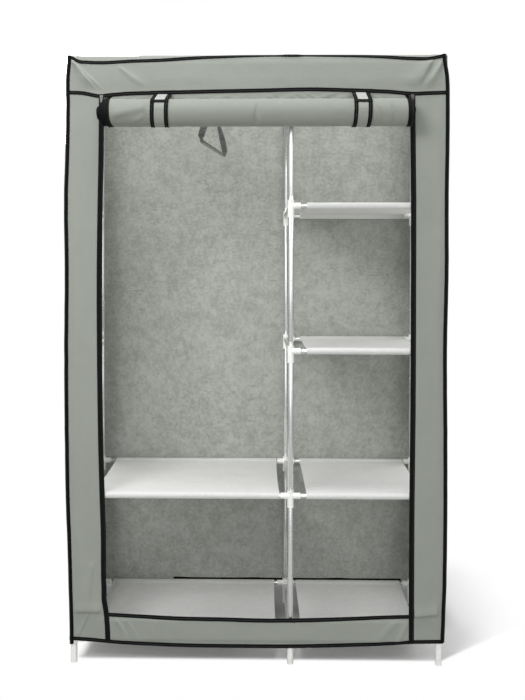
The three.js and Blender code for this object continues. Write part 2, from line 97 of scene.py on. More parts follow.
def modify(piece, kind, **settings):
    only(piece)
    modifier = piece.modifiers.new(kind.title(), kind)
    for key, value in settings.items():
        setattr(modifier, key, value)
    bpy.ops.object.modifier_apply(modifier=modifier.name)
    return piece


def bevel(piece, width, segments, degrees):
    return modify(piece, "BEVEL", width=width, segments=segments, limit_method="ANGLE",
                  angle_limit=math.radians(degrees))


def placeInMesh(piece):
    only(piece)
    bpy.ops.object.transform_apply(location=True, rotation=True, scale=True)
    return piece


# Runs edit-mode operators on the faces that choose(centre, normal) picks.
def onFaces(piece, choose, *steps):
    placeInMesh(piece)
    bpy.ops.object.mode_set(mode="EDIT")
    bpy.ops.mesh.select_mode(type="FACE")
    for operator, settings in steps:
        bpy.ops.mesh.select_all(action="DESELECT")
        bpy.ops.object.mode_set(mode="OBJECT")
        for polygon in piece.data.polygons:
            polygon.select = choose(polygon.center, polygon.normal)
        bpy.ops.object.mode_set(mode="EDIT")
        operator(**settings)
    bpy.ops.object.mode_set(mode="OBJECT")
    return piece


def facesOut(piece):
    only(piece)
    bpy.ops.object.mode_set(mode="EDIT")
    bpy.ops.mesh.select_all(action="SELECT")
    bpy.ops.mesh.remove_doubles(threshold=0.00001)
    bpy.ops.mesh.normals_make_consistent(inside=False)
    bpy.ops.object.mode_set(mode="OBJECT")
    return piece


def smooth(piece, degrees):
    only(piece)
    bpy.ops.object.shade_smooth_by_angle(angle=math.radians(degrees))
    return piece


# Joins or cuts one piece with others, which are used up.
def carve(piece, others, operation):
    for other in others:
        modify(piece, "BOOLEAN", operation=operation, object=other, solver="EXACT")
        bpy.data.objects.remove(other)
    return piece


def joined(name, first, *others):
    only(first)
    for other in others:
        other.select_set(True)
    bpy.ops.object.join()
    first.name = first.data.name = name
    return first


def copyTo(piece, name, matrix):
    twin = piece.copy()
    twin.data = piece.data.copy()
    twin.name = twin.data.name = name
    bpy.context.scene.collection.objects.link(twin)
    twin.data.transform(matrix)
    if matrix.determinant() < 0:
        twin.data.flip_normals()
    return twin


def settle(piece, finish, body="root", stands=()):
    piece.data.materials.clear()
    piece.data.materials.append(finishes[finish])
    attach(piece, body)
    if stands:
        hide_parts(*stands)
    return piece


# Curves and ripples that the cloth follows

def mix(first, second, share):
    return first + (second - first) * share


def ease(share):
    share = np.clip(share, 0, 1)
    return share * share * (3 - 2 * share)


# 1 from low to high, and 0 outside, with a soft start and end.
def inside(value, low, high, fadeIn, fadeOut=None):
    return ease((value - low) / fadeIn) * ease((high - value) / (fadeOut or fadeIn))


def hump(share):
    return np.sin(np.pi * np.clip(share, 0, 1))


def ridge(distance, width):
    return np.exp(-(distance / width) ** 2)


# A smooth curve through the stops.
def through(stops, at):
    where, value = np.array(stops, float).T
    at = np.clip(np.asarray(at, float), where[0], where[-1])
    slope = np.gradient(value, where)
    i = np.clip(np.searchsorted(where, at) - 1, 0, len(where) - 2)
    span = where[i + 1] - where[i]
    t = (at - where[i]) / span
    return mix(value[i], value[i + 1], ease(t)) + span * t * (1 - t) * (slope[i] * (1 - t) - slope[i + 1] * t)


# Soft random ripples over two coordinates, each with its own size.
def ripple(a, b, sizeA, sizeB, seed):
    a, b = np.broadcast_arrays(a, b)
    values = [noise.noise((p / sizeA, q / sizeB, seed)) for p, q in zip(a.ravel(), b.ravel())]
    return np.array(values).reshape(a.shape)


# Slack: ripples that only rise, each given as (height, size along a, size along b, seed).
def slack(a, b, rows):
    return sum(height * (1 + ripple(a, b, *wave)) for height, *wave in rows)


# The share along a line from one (a, b) to another, and the distance beside it.
def besideLine(a, b, first, last):
    alongA, alongB = last[0] - first[0], last[1] - first[1]
    length = math.hypot(alongA, alongB)
    share = ((a - first[0]) * alongA + (b - first[1]) * alongB) / length ** 2
    return share, ((a - first[0]) * alongB - (b - first[1]) * alongA) / length


# A fold along such a line, widening away from its start.
def fold(a, b, first, last, width, height):
    t, beside = besideLine(a, b, first, last)
    spread = 0.35 + 0.65 * np.clip(t, 0, 1.2)
    return height * ridge(beside, width * spread) * inside(t, 0, 1.25, 0.2, 0.5)


# A crease: steep on its left side, seen from its start, and gentle on the other.
def crease(a, b, first, last, steep, gentle, height):
    t, beside = besideLine(a, b, first, last)
    spread = 0.3 + 0.7 * np.clip(t, 0, 1.2)
    return height * ridge(beside, np.where(beside < 0, steep, gentle) * spread) * inside(t, 0, 1.3, 0.15, 0.45)


def folds(a, b, rows):
    return sum(fold(a, b, *row) for row in rows)


def creases(a, b, rows):
    return sum(crease(a, b, *row) for row in rows)


# Packs the columns of a sheet towards both of its ends.
def packed(u, share=0.6):
    return mix(u, 0.5 - 0.5 * np.cos(np.pi * u), share)


def runAlong(points):
    return np.append(0, np.cumsum(np.linalg.norm(np.diff(points, axis=0), axis=1)))


# A sheet of cloth: place(u, v) gives the x, y and z of its outer face, and its flat width and length come back.
def clothSheet(name, columns, rows, place, thick=0.0007, centred=False):
    piece = start(name, bpy.ops.mesh.primitive_grid_add, x_subdivisions=columns, y_subdivisions=rows, size=2)
    mesh = piece.data
    corners = np.empty(len(mesh.vertices) * 3)
    mesh.vertices.foreach_get("co", corners)
    u, v = (corners.reshape(-1, 3)[:, :2].T + 1) / 2
    mesh.vertices.foreach_set("co", np.column_stack(np.broadcast_arrays(*place(u, v))).ravel())
    line, half = np.linspace(0, 1, 300), np.full(300, 0.5)
    layer = mesh.uv_layers[0].data
    chart = np.empty(len(layer) * 2)
    layer.foreach_get("uv", chart)
    chart = chart.reshape(-1, 2)
    flat = []
    for way, path in enumerate((place(line, half), place(half, line))):
        run = runAlong(np.column_stack(np.broadcast_arrays(*path)))
        chart[:, way] = np.interp(chart[:, way], line, run)
        if centred and way == 0:
            chart[:, 0] -= run[-1] / 2
        flat.append(round(float(run[-1]), 3))
    layer.foreach_set("uv", chart.ravel())
    mesh.update()
    modify(piece, "SOLIDIFY", thickness=thick, offset=-1)
    return smooth(piece, 60), tuple(flat)


# Finishes

class Wire:
    def __init__(self, finish, socket):
        self.finish, self.socket = finish, socket

    def __add__(self, other):
        return self.finish.maths("ADD", self, other)

    def __sub__(self, other):
        return self.finish.maths("SUBTRACT", self, other)

    def __rsub__(self, other):
        return self.finish.maths("SUBTRACT", other, self)

    def __mul__(self, other):
        return self.finish.maths("MULTIPLY", self, other)

    def __pow__(self, other):
        return self.finish.maths("POWER", self, other)

    __radd__, __rmul__ = __add__, __mul__


def shade(*levels):
    return tuple(((c / 255 + 0.055) / 1.055) ** 2.4 for c in levels) + (1,)


class Finish:
    def __init__(self, name, kind="materials"):
        self.owner = getattr(bpy.data, kind).new(name)
        self.owner.use_nodes = True
        self.tree = self.owner.node_tree
        self.tree.nodes.clear()

    def node(self, kind, settings=None, sockets=None, output=0):
        made = self.tree.nodes.new(kind)
        for key, value in (settings or {}).items():
            setattr(made, key, value)
        for key, value in (sockets or {}).items():
            if isinstance(value, Wire):
                self.tree.links.new(value.socket, made.inputs[key])
            else:
                made.inputs[key].default_value = value
        return Wire(self, made.outputs[output]) if made.outputs else None

    def maths(self, operation, first, second):
        return self.node("ShaderNodeMath", {"operation": operation}, {0: first, 1: second})

    def place(self):
        return self.node("ShaderNodeTexCoord", output="Object")

    def chart(self):
        return self.node("ShaderNodeUVMap")

    def split(self, vector):
        parts = self.node("ShaderNodeSeparateXYZ", None, {0: vector}).socket.node.outputs
        return [Wire(self, part) for part in parts]

    def stretched(self, vector, scale):
        return self.node("ShaderNodeMapping", None, {"Vector": vector, "Scale": scale})

    def noise(self, vector, scale, detail=3, rough=0.5, twist=0):
        sockets = {"Vector": vector, "Scale": scale, "Detail": detail, "Roughness": rough, "Distortion": twist}
        return self.node("ShaderNodeTexNoise", None, sockets)

    def wave(self, wire, period):
        return self.node("ShaderNodeMath", {"operation": "SINE"}, {0: wire * (2 * math.pi / period)})

    def size(self, wire):
        return self.node("ShaderNodeMath", {"operation": "ABSOLUTE"}, {0: wire})

    def over(self, wire, floor=0.0):
        return self.maths("MAXIMUM", wire, floor)

    def band(self, wire, low, high, first=0.0, last=1.0):
        sockets = {"Value": wire, "From Min": low, "From Max": high, "To Min": first, "To Max": last}
        return self.node("ShaderNodeMapRange", {"interpolation_type": "SMOOTHSTEP"}, sockets)

    def blend(self, share, first, second):
        return self.node("ShaderNodeMix", {"data_type": "RGBA"}, {0: share, 6: first, 7: second}, output=2)

    def bump(self, height, distance, under=None):
        sockets = {"Height": height, "Distance": distance, "Strength": 1.0}
        return self.node("ShaderNodeBump", None, {**sockets, "Normal": under} if under else sockets)

    def surface(self, colour, roughness, normal, sockets):
        sockets = {"Base Color": colour, "Roughness": roughness, "Normal": normal, **sockets}
        self.node("ShaderNodeOutputMaterial", None, {"Surface": self.node("ShaderNodeBsdfPrincipled", None, sockets)})
        return self.owner


# Smooth woven polyester: fine threads, faint slubs, a little sheen.
def wovenCloth(name, colour, dark=0.94, thread=0.0011, weave=0.00012):
    f = Finish(name)
    u, v, _ = f.split(f.chart())
    spot = f.place()
    threads = f.wave(u, thread) * f.wave(v, thread)
    along, across = (f.stretched(f.chart(), scale) for scale in ((260, 2600, 1), (2600, 260, 1)))
    slubs = f.noise(along, 1.0, 2) + f.noise(across, 1.0, 2)
    clouds = f.noise(spot, 3.2, 4, 0.55)
    tone = f.band(clouds * 0.8 + slubs * 0.1 + threads * 0.02, 0.28, 0.72)
    deep = tuple(c * dark for c in colour[:3]) + (1,)
    fine = f.bump(threads * 0.5 + slubs * 0.5, weave)
    soft = f.bump(f.noise(spot, 26, 3, 0.6), 0.0016, fine)
    return f.surface(f.blend(tone, deep, colour), f.band(slubs, 0.6, 1.4, 0.78, 0.9), soft,
                     {"Sheen Weight": 0.12, "Sheen Roughness": 0.5, "Specular IOR Level": 0.25})


# Pressed fibre cloth: clouds, darker veins that run across, and a small grid of pressed dots.
def fibreCloth(name, colour, dark, veins, dots=0.0024):
    f = Finish(name)
    spot = f.place()
    u, v, _ = f.split(f.chart())
    clouds = f.noise(spot, 105, 3, 0.6, 0.4) * 0.5 + f.noise(spot, 26, 3, 0.55) * 0.35 + f.noise(spot, 6, 2) * 0.15
    across = f.noise(f.stretched(spot, (5, 5, 16)), 1.0, 3, 0.62, 1.3)
    patches = f.band(f.noise(spot, 7, 2), 0.46, 0.62)
    vein = f.band(f.size(across - 0.5), 0.0, 0.014, 1.0, 0.0) * patches
    grain = f.noise(spot, 420, 3, 0.7)
    dot = f.band(f.wave(u + v, dots) * f.wave(u - v, dots), 0.35, 0.9)
    tone = f.band(clouds * 0.85 + grain * 0.15, 0.36, 0.64) - vein * veins
    height = grain * 0.4 - dot * 0.5 + clouds * 0.3
    return f.surface(f.blend(tone, dark, colour), f.band(grain, 0.3, 0.7, 0.82, 0.95), f.bump(height, 0.0004),
                     {"Sheen Weight": 0.1, "Specular IOR Level": 0.2})


# Ribbed black tape with a line of stitches along its middle, and a lighter band there that is painted highlight, where
# the tape's flat middle catches the light.
def tapeCloth(name, colour, line, stitch=0.0034, lineHalf=0.0011):
    f = Finish(name)
    u, v, _ = f.split(f.chart())
    fuzz = f.noise(f.place(), 500, 2)
    # centre: the lighter band along the middle is painted highlight; the stitches on it are real.
    centre = f.band(f.size(u), lineHalf * 0.6, lineHalf * 1.5, 1.0, 0.0)
    stitches = centre * f.band(f.wave(v, stitch), -0.3, 0.4)
    tone = stitches * 0.6 + centre * 0.25 + f.noise(f.place(), 14) * 0.06 + fuzz * 0.04
    height = f.wave(v, 0.0009) * 0.3 + stitches * 0.9 + fuzz * 0.2 - centre * 0.5
    return f.surface(f.blend(tone, colour, line), f.band(fuzz, 0.3, 0.7, 0.65, 0.85), f.bump(height, 0.0003),
                     {"Specular IOR Level": 0.06})


# Zip tape: black twill with a row of stitches and, beside it, a coil of teeth.
def zipCloth(name, colour, coil, pitch=0.0016, offset=0.0045):
    f = Finish(name)
    u, v, _ = f.split(f.chart())
    onCoil = f.band(f.size(u - offset), 0.0014, 0.0019, 1.0, 0.0)
    seam = f.band(f.size(u + offset), 0.0004, 0.0008, 1.0, 0.0) * f.band(f.wave(v, 0.003), -0.4, 0.3)
    teeth = onCoil * f.wave(v, pitch)
    tone = onCoil * (teeth * 0.3 + 0.4) + seam * 0.4 + f.noise(f.place(), 12) * 0.06
    height = f.wave(u + v, 0.0012) * 0.15 + teeth * 1.4 + seam * 0.8
    return f.surface(f.blend(tone, colour, coil), f.blend(onCoil, shade(215, 215, 215), shade(140, 140, 140)),
                     f.bump(height, 0.0004), {"Specular IOR Level": 0.08})


# Moulded plastic: slightly uneven gloss, faint orange peel, dusty patches.
def mouldedPlastic(name, colour, dusty, gloss=0.24, coat=0.3):
    f = Finish(name)
    spot = f.place()
    dust = f.band(f.noise(spot, 34, 4, 0.65), 0.45, 0.75)
    rough = f.band(f.noise(spot, 60), 0.3, 0.7, gloss, gloss + 0.14) + dust * 0.12
    return f.surface(f.blend(dust * 0.6, colour, dusty), rough, f.bump(f.noise(spot, 330, 2), 0.00005),
                     {"Coat Weight": coat, "Coat Roughness": 0.12})


# Thin steel: bright, with fine scratches and dull spots.
def brightSteel(name, colour, dull, gloss, metal=1.0):
    f = Finish(name)
    spot = f.place()
    scratches = f.noise(spot, 480, 3, 0.6)
    blotch = f.band(f.noise(spot, 18, 3, 0.55), 0.45, 0.75)
    rough = f.band(scratches, 0.3, 0.7, gloss, gloss + 0.05) + blotch * 0.06
    return f.surface(f.blend(blotch * 0.6, colour, dull), rough, f.bump(scratches, 0.000006), {"Metallic": metal})


finishes = {
    "cover": wovenCloth("coverWeave", shade(151, 155, 148)),
    # The door is the cover's cloth made a little darker: painted shade on the rolled door.
    "door": wovenCloth("doorWeavePaintedShade", shade(146, 150, 142)),
    "rear": fibreCloth("rearFibre", shade(180, 183, 177), shade(152, 155, 148), veins=1.0),
    "shelf": fibreCloth("shelfFibre", shade(226, 226, 224), shade(219, 219, 217), veins=0.08),
    "patch": fibreCloth("strapPatch", shade(182, 183, 180), shade(166, 167, 164), veins=0.1),
    # The tape's lighter colour is for its stitches and for the painted highlight along its middle.
    "binding": tapeCloth("bindingTape", shade(8, 9, 9), shade(62, 63, 62)),
    "zip": zipCloth("zipTape", shade(10, 11, 11), shade(58, 59, 58)),
    "joint": mouldedPlastic("jointPlastic", shade(250, 250, 247), shade(234, 233, 228)),
    "tube": brightSteel("tubeSteel", shade(228, 229, 228), shade(212, 213, 211), gloss=0.2, metal=0.8),
    "wire": brightSteel("hookSteel", shade(214, 214, 212), shade(170, 171, 170), gloss=0.12),
    "zipMetal": brightSteel("zipMetal", shade(96, 96, 93), shade(62, 62, 60), gloss=0.38),
    "hanger": mouldedPlastic("hangerPlastic", shade(104, 106, 104), shade(126, 127, 124), gloss=0.2, coat=0.5),
}
print("wardrobe: finishes made")


# Tubes: one is modelled, with rolled ends and two crimped rings near each, and copied to every length.

tube = {"length": 0.2, "wall": 0.0006, "sides": 36, "rings": (0.0222, 0.0265), "ringDepth": 0.00035,
        "ringWidth": 0.0012, "lip": 0.0004, "lipWidth": 0.0012, "gap": 0.0002}


def modelTube():
    half = tube["length"] / 2
    piece = start("tubeModel", bpy.ops.mesh.primitive_cylinder_add, vertices=tube["sides"], radius=tubeRadius,
                  depth=tube["length"], end_fill_type="NOTHING")
    cuts = [tube["lipWidth"]]
    for ring in tube["rings"]:
        cuts += [ring - tube["ringWidth"], ring, ring + tube["ringWidth"]]
    bpy.ops.object.mode_set(mode="EDIT")
    for side in (-1, 1):
        for cut in cuts:
            bpy.ops.mesh.select_all(action="SELECT")
            bpy.ops.mesh.bisect(plane_co=(0, 0, side * (half - cut)), plane_no=(0, 0, 1))
    bpy.ops.object.mode_set(mode="OBJECT")
    for vertex in piece.data.vertices:
        inset = half - abs(vertex.co.z)
        sunk = sum(tube["ringDepth"] for ring in tube["rings"] if abs(inset - ring) < 0.0001)
        if inset < 0.0001:
            sunk = tube["lip"]
        vertex.co.x *= 1 - sunk / tubeRadius
        vertex.co.y *= 1 - sunk / tubeRadius
    return smooth(modify(piece, "SOLIDIFY", thickness=tube["wall"], offset=-1), 50)


tubeModel = modelTube()


def tubeBetween(name, first, last, stands=()):
    first, last = Vector(first), Vector(last)
    stretch = ((last - first).length - tube["length"]) / 2
    turn = (last - first).to_track_quat("Z", "Y").to_matrix().to_4x4()
    piece = copyTo(tubeModel, name, Matrix.Identity(4))
    for vertex in piece.data.vertices:
        vertex.co.z += math.copysign(stretch, vertex.co.z)
    piece.data.transform(Matrix.Translation((first + last) / 2) @ turn)
    return settle(piece, "tube", stands=stands)


def railTube(name, node, y, z):
    low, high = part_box(node)
    return tubeBetween(name, (low.x, y, z), (high.x, y, z), [node])


for row, y in rowY.items():
    for column, x in columnX.items():
        post = f"post_{row}_{column}"
        ends = [0.0045, *levelZ[1:4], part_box(post)[1].z - 0.0006]
        for section in range(4):
            tubeBetween(f"post_tube_{row}_{column}_{section}", (x, y, ends[section] + tube["gap"]),
                        (x, y, ends[section + 1] - tube["gap"]), [post] if section == 0 else [])

for bay, levels in bayLevels.items():
    for level in levels:
        for row, y in rowY.items():
            railTube(f"rail_tube_{row}_{bay}_{level}", f"rail_{row}_{bay}_{level}", y, levelZ[level])

hangY, hangZ = middle("hanging_rail").y, middle("hanging_rail").z
railTube("hanging_rail_tube", "hanging_rail", hangY, hangZ)
print("wardrobe: tubes placed")


# Joints: a sleeve round the post and an arm for each tube, all hollow. Every mouth has a rim, but for the short
# upper end of a top joint.

joint = {"sleeve": 0.0092, "arm": 0.0089, "reach": 0.028, "down": 0.033, "up": 0.016, "upTop": 0.010,
         "rim": 0.00045, "rimLength": 0.0032, "bore": 0.00815, "socketFloor": 0.0104, "middleHalf": 0.026,
         "middleStop": 0.004}


def rod(name, radius, low, high, direction=alongZ):
    turn = (direction[1] * math.pi / 2, abs(direction[0]) * math.pi / 2, 0)
    return placeInMesh(start(name, bpy.ops.mesh.primitive_cylinder_add, vertices=40, radius=radius,
                             depth=abs(high - low), location=Vector(direction) * (low + high) / 2, rotation=turn))


def modelJoint(name, axis, low, high, arms):
    rim, long, reach = joint["rim"], joint["rimLength"], joint["reach"]
    body = rod(name, joint["sleeve"], low, high, axis)
    parts = [rod("rim", joint["sleeve"] + rim, low, low + long, axis)]
    if high > joint["upTop"]:
        parts.append(rod("rim", joint["sleeve"] + rim, high - long, high, axis))
    bores = [rod("bore", joint["bore"], low - 0.01, high + 0.01, axis)]
    for direction in arms:
        parts.append(rod("arm", joint["arm"], 0, reach, direction))
        parts.append(rod("rim", joint["arm"] + rim, reach - long, reach, direction))
        bores.append(rod("bore", joint["bore"], joint["socketFloor"], reach + 0.01, direction))
    carve(body, parts, "UNION")
    bevel(body, 0.0009, 3, 40)
    carve(body, bores, "DIFFERENCE")
    if axis == alongZ:
        bevel(body, 0.0003, 1, 70)
    return smooth(facesOut(body), 45)


jointModels = {}
for kind, arms in {"corner": (alongX, alongY), "tee": (alongX, (-1, 0, 0), alongY)}.items():
    for suffix, up in (("", joint["up"]), ("_top", joint["upTop"])):
        jointModels[kind + suffix] = modelJoint(f"jointModel_{kind}{suffix}", alongZ, -joint["down"], up, arms)

for column, x in columnX.items():
    for level in bayLevels["left" if column == "left" else "right"]:
        z = levelZ[level]
        kind = "tee" if column == "centre" and level in bayLevels["left"] else "corner"
        for row, y in rowY.items():
            mirror = Matrix.Diagonal((-1 if column == "right" else 1, 1 if row == "front" else -1, 1, 1))
            twin = copyTo(jointModels[kind + ("_top" if level == 4 else "")], f"joint_{row}_{column}_{level}",
                          Matrix.Translation((x, y, z)) @ mirror)
            settle(twin, "joint")
        ends = [rowY["front"] + joint["socketFloor"], rowY["rear"] - joint["socketFloor"]]
        if level == 4 and column != "right":
            ends[1:1] = [hangY - joint["middleStop"], hangY + joint["middleStop"]]
        for part, (near, far) in enumerate(zip(ends[::2], ends[1::2])):
            tubeBetween(f"depth_tube_{column}_{level}_{part}", (x, near, z), (x, far, z),
                        [f"rung_{column}_{level}"] if part == 0 else [])

# The joint in the middle of two top depth tubes, which takes the hanging rail
middleModel = modelJoint("jointModel_rail", alongY, -joint["middleHalf"], joint["middleHalf"], [alongX])
for column, flip in (("left", 1), ("centre", -1)):
    shift = Matrix.Translation((columnX[column], hangY, hangZ)) @ Matrix.Diagonal((flip, 1, 1, 1))
    settle(copyTo(middleModel, f"rail_joint_{column}", shift), "joint")

# Feet
foot = {"radius": 0.0092, "height": 0.0347, "floor": 0.004}
footModel = rod("footModel", foot["radius"], 0, foot["height"])
sink = {"value": (0, 0, foot["floor"] - foot["height"])}
onFaces(footModel, lambda c, n: n.z > 0.9 and math.hypot(c.x, c.y) < 0.001,
        (bpy.ops.mesh.inset, {"thickness": foot["radius"] - joint["bore"]}),
        (bpy.ops.mesh.extrude_region_move, {"TRANSFORM_OT_translate": sink}))
for row, y in rowY.items():
    for column, x in columnX.items():
        twin = copyTo(footModel, f"foot_{row}_{column}", Matrix.Translation((x, y, 0)))
        settle(twin, "joint")

for model in [tubeModel, middleModel, footModel, *jointModels.values()]:
    bpy.data.objects.remove(model)
print("wardrobe: joints and feet placed")


# Shelves: each cloth is sewn into a sleeve round the front and the rear rail and sags a little between them.

shelf = {
    "outer": 0.0093, "seam": 0.019, "sag": 0.005, "groove": 0.0007, "wrinkle": 0.0016, "pucker": 0.0004,
    "cloth": 0.0009, "drop": 0.0032,
    "slid": {("left", 0): (-0.018, -0.006), ("left", 1): (-0.007, 0.001),
             ("right", 0): (-0.013, -0.012), ("right", 1): (0, -0.005)},
}


# The sleeve round one rail, from its seam to its top, as (y, z).
def shelfSleeve(y, z, facing):
    outer, seam = shelf["outer"], shelf["seam"]
    points = [(seam, outer - 0.0016), (seam - 0.004, outer - 0.0032)]
    points += [(outer * math.cos(a), outer * math.sin(a)) for a in np.radians(np.linspace(-52, -270, 34))]
    return [(y + facing * out, z + rise) for out, rise in points]


def shelfSheet(bay, level):
    node = f"shelf_{bay}_{level}"
    low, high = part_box(node)
    slidLeft, slidRight = shelf["slid"].get((bay, level), (0, 0))
    front, rear, z = rowY["front"], rowY["rear"], levelZ[level]
    top = z + shelf["outer"]
    between = [(y, top) for y in np.linspace(front + 0.004, rear - 0.004, 60)]
    profile = np.array(shelfSleeve(front, z, 1) + between + shelfSleeve(rear, z, -1)[::-1])
    run = runAlong(profile)
    seed = level + (10 if bay == "left" else 0)

    def place(u, v):
        x = mix(low.x + slidLeft, high.x + slidRight, u)
        y, z = (np.interp(v * run[-1], run, way) for way in profile.T)
        across = (y - front) / (rear - front)
        onTop = np.where(z > top - 0.0005, 1.0, 0.0)
        sag = shelf["sag"] * 4 * np.clip(across * (1 - across), 0, 1) * (1 + 0.12 * ripple(x, y, 0.3, 0.3, seed))
        sag = sag + shelf["drop"] * inside(y, front + 0.017, rear - 0.017, 0.008)
        grooves = ridge(y - front - shelf["seam"], 0.0016) + ridge(y - rear + shelf["seam"], 0.0016)
        sag = sag + shelf["groove"] * grooves
        sag = sag - shelf["wrinkle"] * ripple(x, y, 0.16, 0.07, seed + 0.5) * hump(across)
        puckers = shelf["pucker"] * ripple(x, y, 0.012, 0.05, seed + 3)
        x = x - (u - 0.5) * 0.004 * hump(across)
        return x, y, z - onTop * sag + puckers * (1 - hump(across) * onTop)

    piece, flat = clothSheet(node.replace("shelf", "shelf_cloth"), 70, 150, place, shelf["cloth"])
    settle(piece, "shelf", stands=[node])


for bay, levels in bayLevels.items():
    for level in levels[:-1]:
        shelfSheet(bay, level)
print("wardrobe: shelves sewn")


# The cover's outline, read along its edges in metres: (height, distance from the middle) and (x, height).

cover = {
    "edge": {
        -1: [(0.05, 0.5345), (0.11, 0.5350), (0.225, 0.5378), (0.337, 0.5405), (0.45, 0.5445), (0.675, 0.548),
             (0.90, 0.549), (1.13, 0.547), (1.355, 0.5485), (1.497, 0.544), (1.609, 0.5425), (1.694, 0.5425),
             (1.735, 0.5385), (1.76, 0.5375)],
        1: [(0.05, 0.5385), (0.14, 0.541), (0.225, 0.544), (0.337, 0.5455), (0.45, 0.546), (0.675, 0.545),
            (0.90, 0.543), (1.13, 0.5465), (1.355, 0.546), (1.497, 0.5475), (1.609, 0.5477), (1.694, 0.5450),
            (1.735, 0.5385), (1.76, 0.5374)]},
    "zip": {
        -1: [(0.05, -0.426), (0.0826, -0.4267), (0.1117, -0.4278), (0.1553, -0.4324), (0.184, -0.437),
             (0.213, -0.4375), (0.257, -0.4387), (0.300, -0.439), (0.358, -0.439), (0.4745, -0.4422),
             (0.649, -0.4464), (0.8815, -0.4493), (1.108, -0.4498), (1.343, -0.4467), (1.487, -0.4440),
             (1.65, -0.4428)],
        1: [(0.05, 0.447), (0.45, 0.447), (0.65, 0.4485), (1.108, 0.4492), (1.343, 0.4485), (1.5, 0.4465),
            (1.65, 0.4450)]},
    "topSeam": [(-0.545, 1.7475), (-0.530, 1.7455), (-0.512, 1.7350), (-0.478, 1.7305), (-0.446, 1.7295),
                (-0.360, 1.7335), (-0.274, 1.7362), (-0.159, 1.7436), (-0.045, 1.7478), (0.060, 1.7496),
                (0.240, 1.7482), (0.299, 1.7470), (0.353, 1.7450), (0.441, 1.7392), (0.498, 1.7395),
                (0.520, 1.7440), (0.545, 1.7480)],
    "headerSeam": [(-0.545, 1.6455), (-0.4925, 1.6425), (-0.448, 1.6345), (-0.415, 1.6375), (-0.378, 1.6405),
                   (-0.303, 1.643), (-0.159, 1.6462), (0.040, 1.650), (0.154, 1.6522), (0.297, 1.648),
                   (0.383, 1.6445), (0.441, 1.6395), (0.4965, 1.6410), (0.545, 1.6425)],
    "hem": [(-0.545, 0.073), (-0.480, 0.0695), (-0.408, 0.0635), (-0.249, 0.0562), (-0.018, 0.0540),
            (0.097, 0.0545), (0.240, 0.0585), (0.383, 0.0650), (0.440, 0.0690), (0.545, 0.0715)],
    "stripTop": [(-0.46, 0.143), (-0.425, 0.142), (-0.335, 0.138), (-0.219, 0.133), (-0.105, 0.1313),
                 (0.039, 0.129), (0.154, 0.1312), (0.240, 0.1342), (0.412, 0.1418), (0.46, 0.143)],
    "top": 1.7512, "cloth": 0.0007,
}

# The rows of slack, creases and folds are what those functions take. The creases under "mirrored" are seen in a
# mirror, so that their steep side lies the other way.
frontPanel = {
    "headerSlack": [(0.0012, 0.16, 0.09, 2.0), (0.0007, 0.05, 0.06, 5.0)],
    "headerCreases": [((-0.5385, 1.7505), (-0.4605, 1.654), 0.0034, 0.022, 0.0104),
                      ((-0.5385, 1.7505), (-0.4420, 1.654), 0.0036, 0.013, 0.0054),
                      ((0.5060, 1.7460), (0.4490, 1.652), 0.0130, 0.034, 0.0062),
                      ((0.5390, 1.7460), (0.4820, 1.652), 0.0140, 0.013, 0.0068)],
    "headerFolds": [((-0.400, 1.722), (-0.318, 1.660), 0.011, 0.0032)],
    "stripSlack": [(0.0024, 0.05, 0.34, 7.0)], "stripRipple": 0.0010,
    "lowLeftCreases": [((-0.468, 0.300), (-0.486, 0.166), 0.009, 0.026, 0.0040)],
    "lowLeftFolds": [((-0.512, 0.40), (-0.500, 0.20), 0.012, 0.0022)],
    "cornerCreases": [((-0.480, 0.148), (-0.515, 0.074), 0.004, 0.014, 0.0032)],
    "mirrored": [((-0.505, 0.146), (-0.517, 0.078), 0.004, 0.010, 0.0024)],
    "ledge": 0.0060, "ledgeBelow": 0.0046, "ledgeAbove": 0.022,
    "hemSlack": [(0.0012, 0.035, 0.2, 12.0), (0.0016, 0.11, 0.1, 14.0)],
    "hemBows": [(-0.413, -0.372, 0.0046), (-0.386, -0.340, 0.0022), (-0.27, -0.288, 0.0014), (0.10, 0.116, 0.0012)],
    "hemFolds": [((0.420, 0.150), (0.345, 0.066), 0.016, 0.0030), ((0.438, 0.128), (0.404, 0.062), 0.010, 0.0026)],
    "bend": 0.0095, "bendAtPost": 0.0022,
}


def edgeX(side, z):
    return through(cover["edge"][side], z)


def zipX(side, z):
    return through(cover["zip"][side], z)


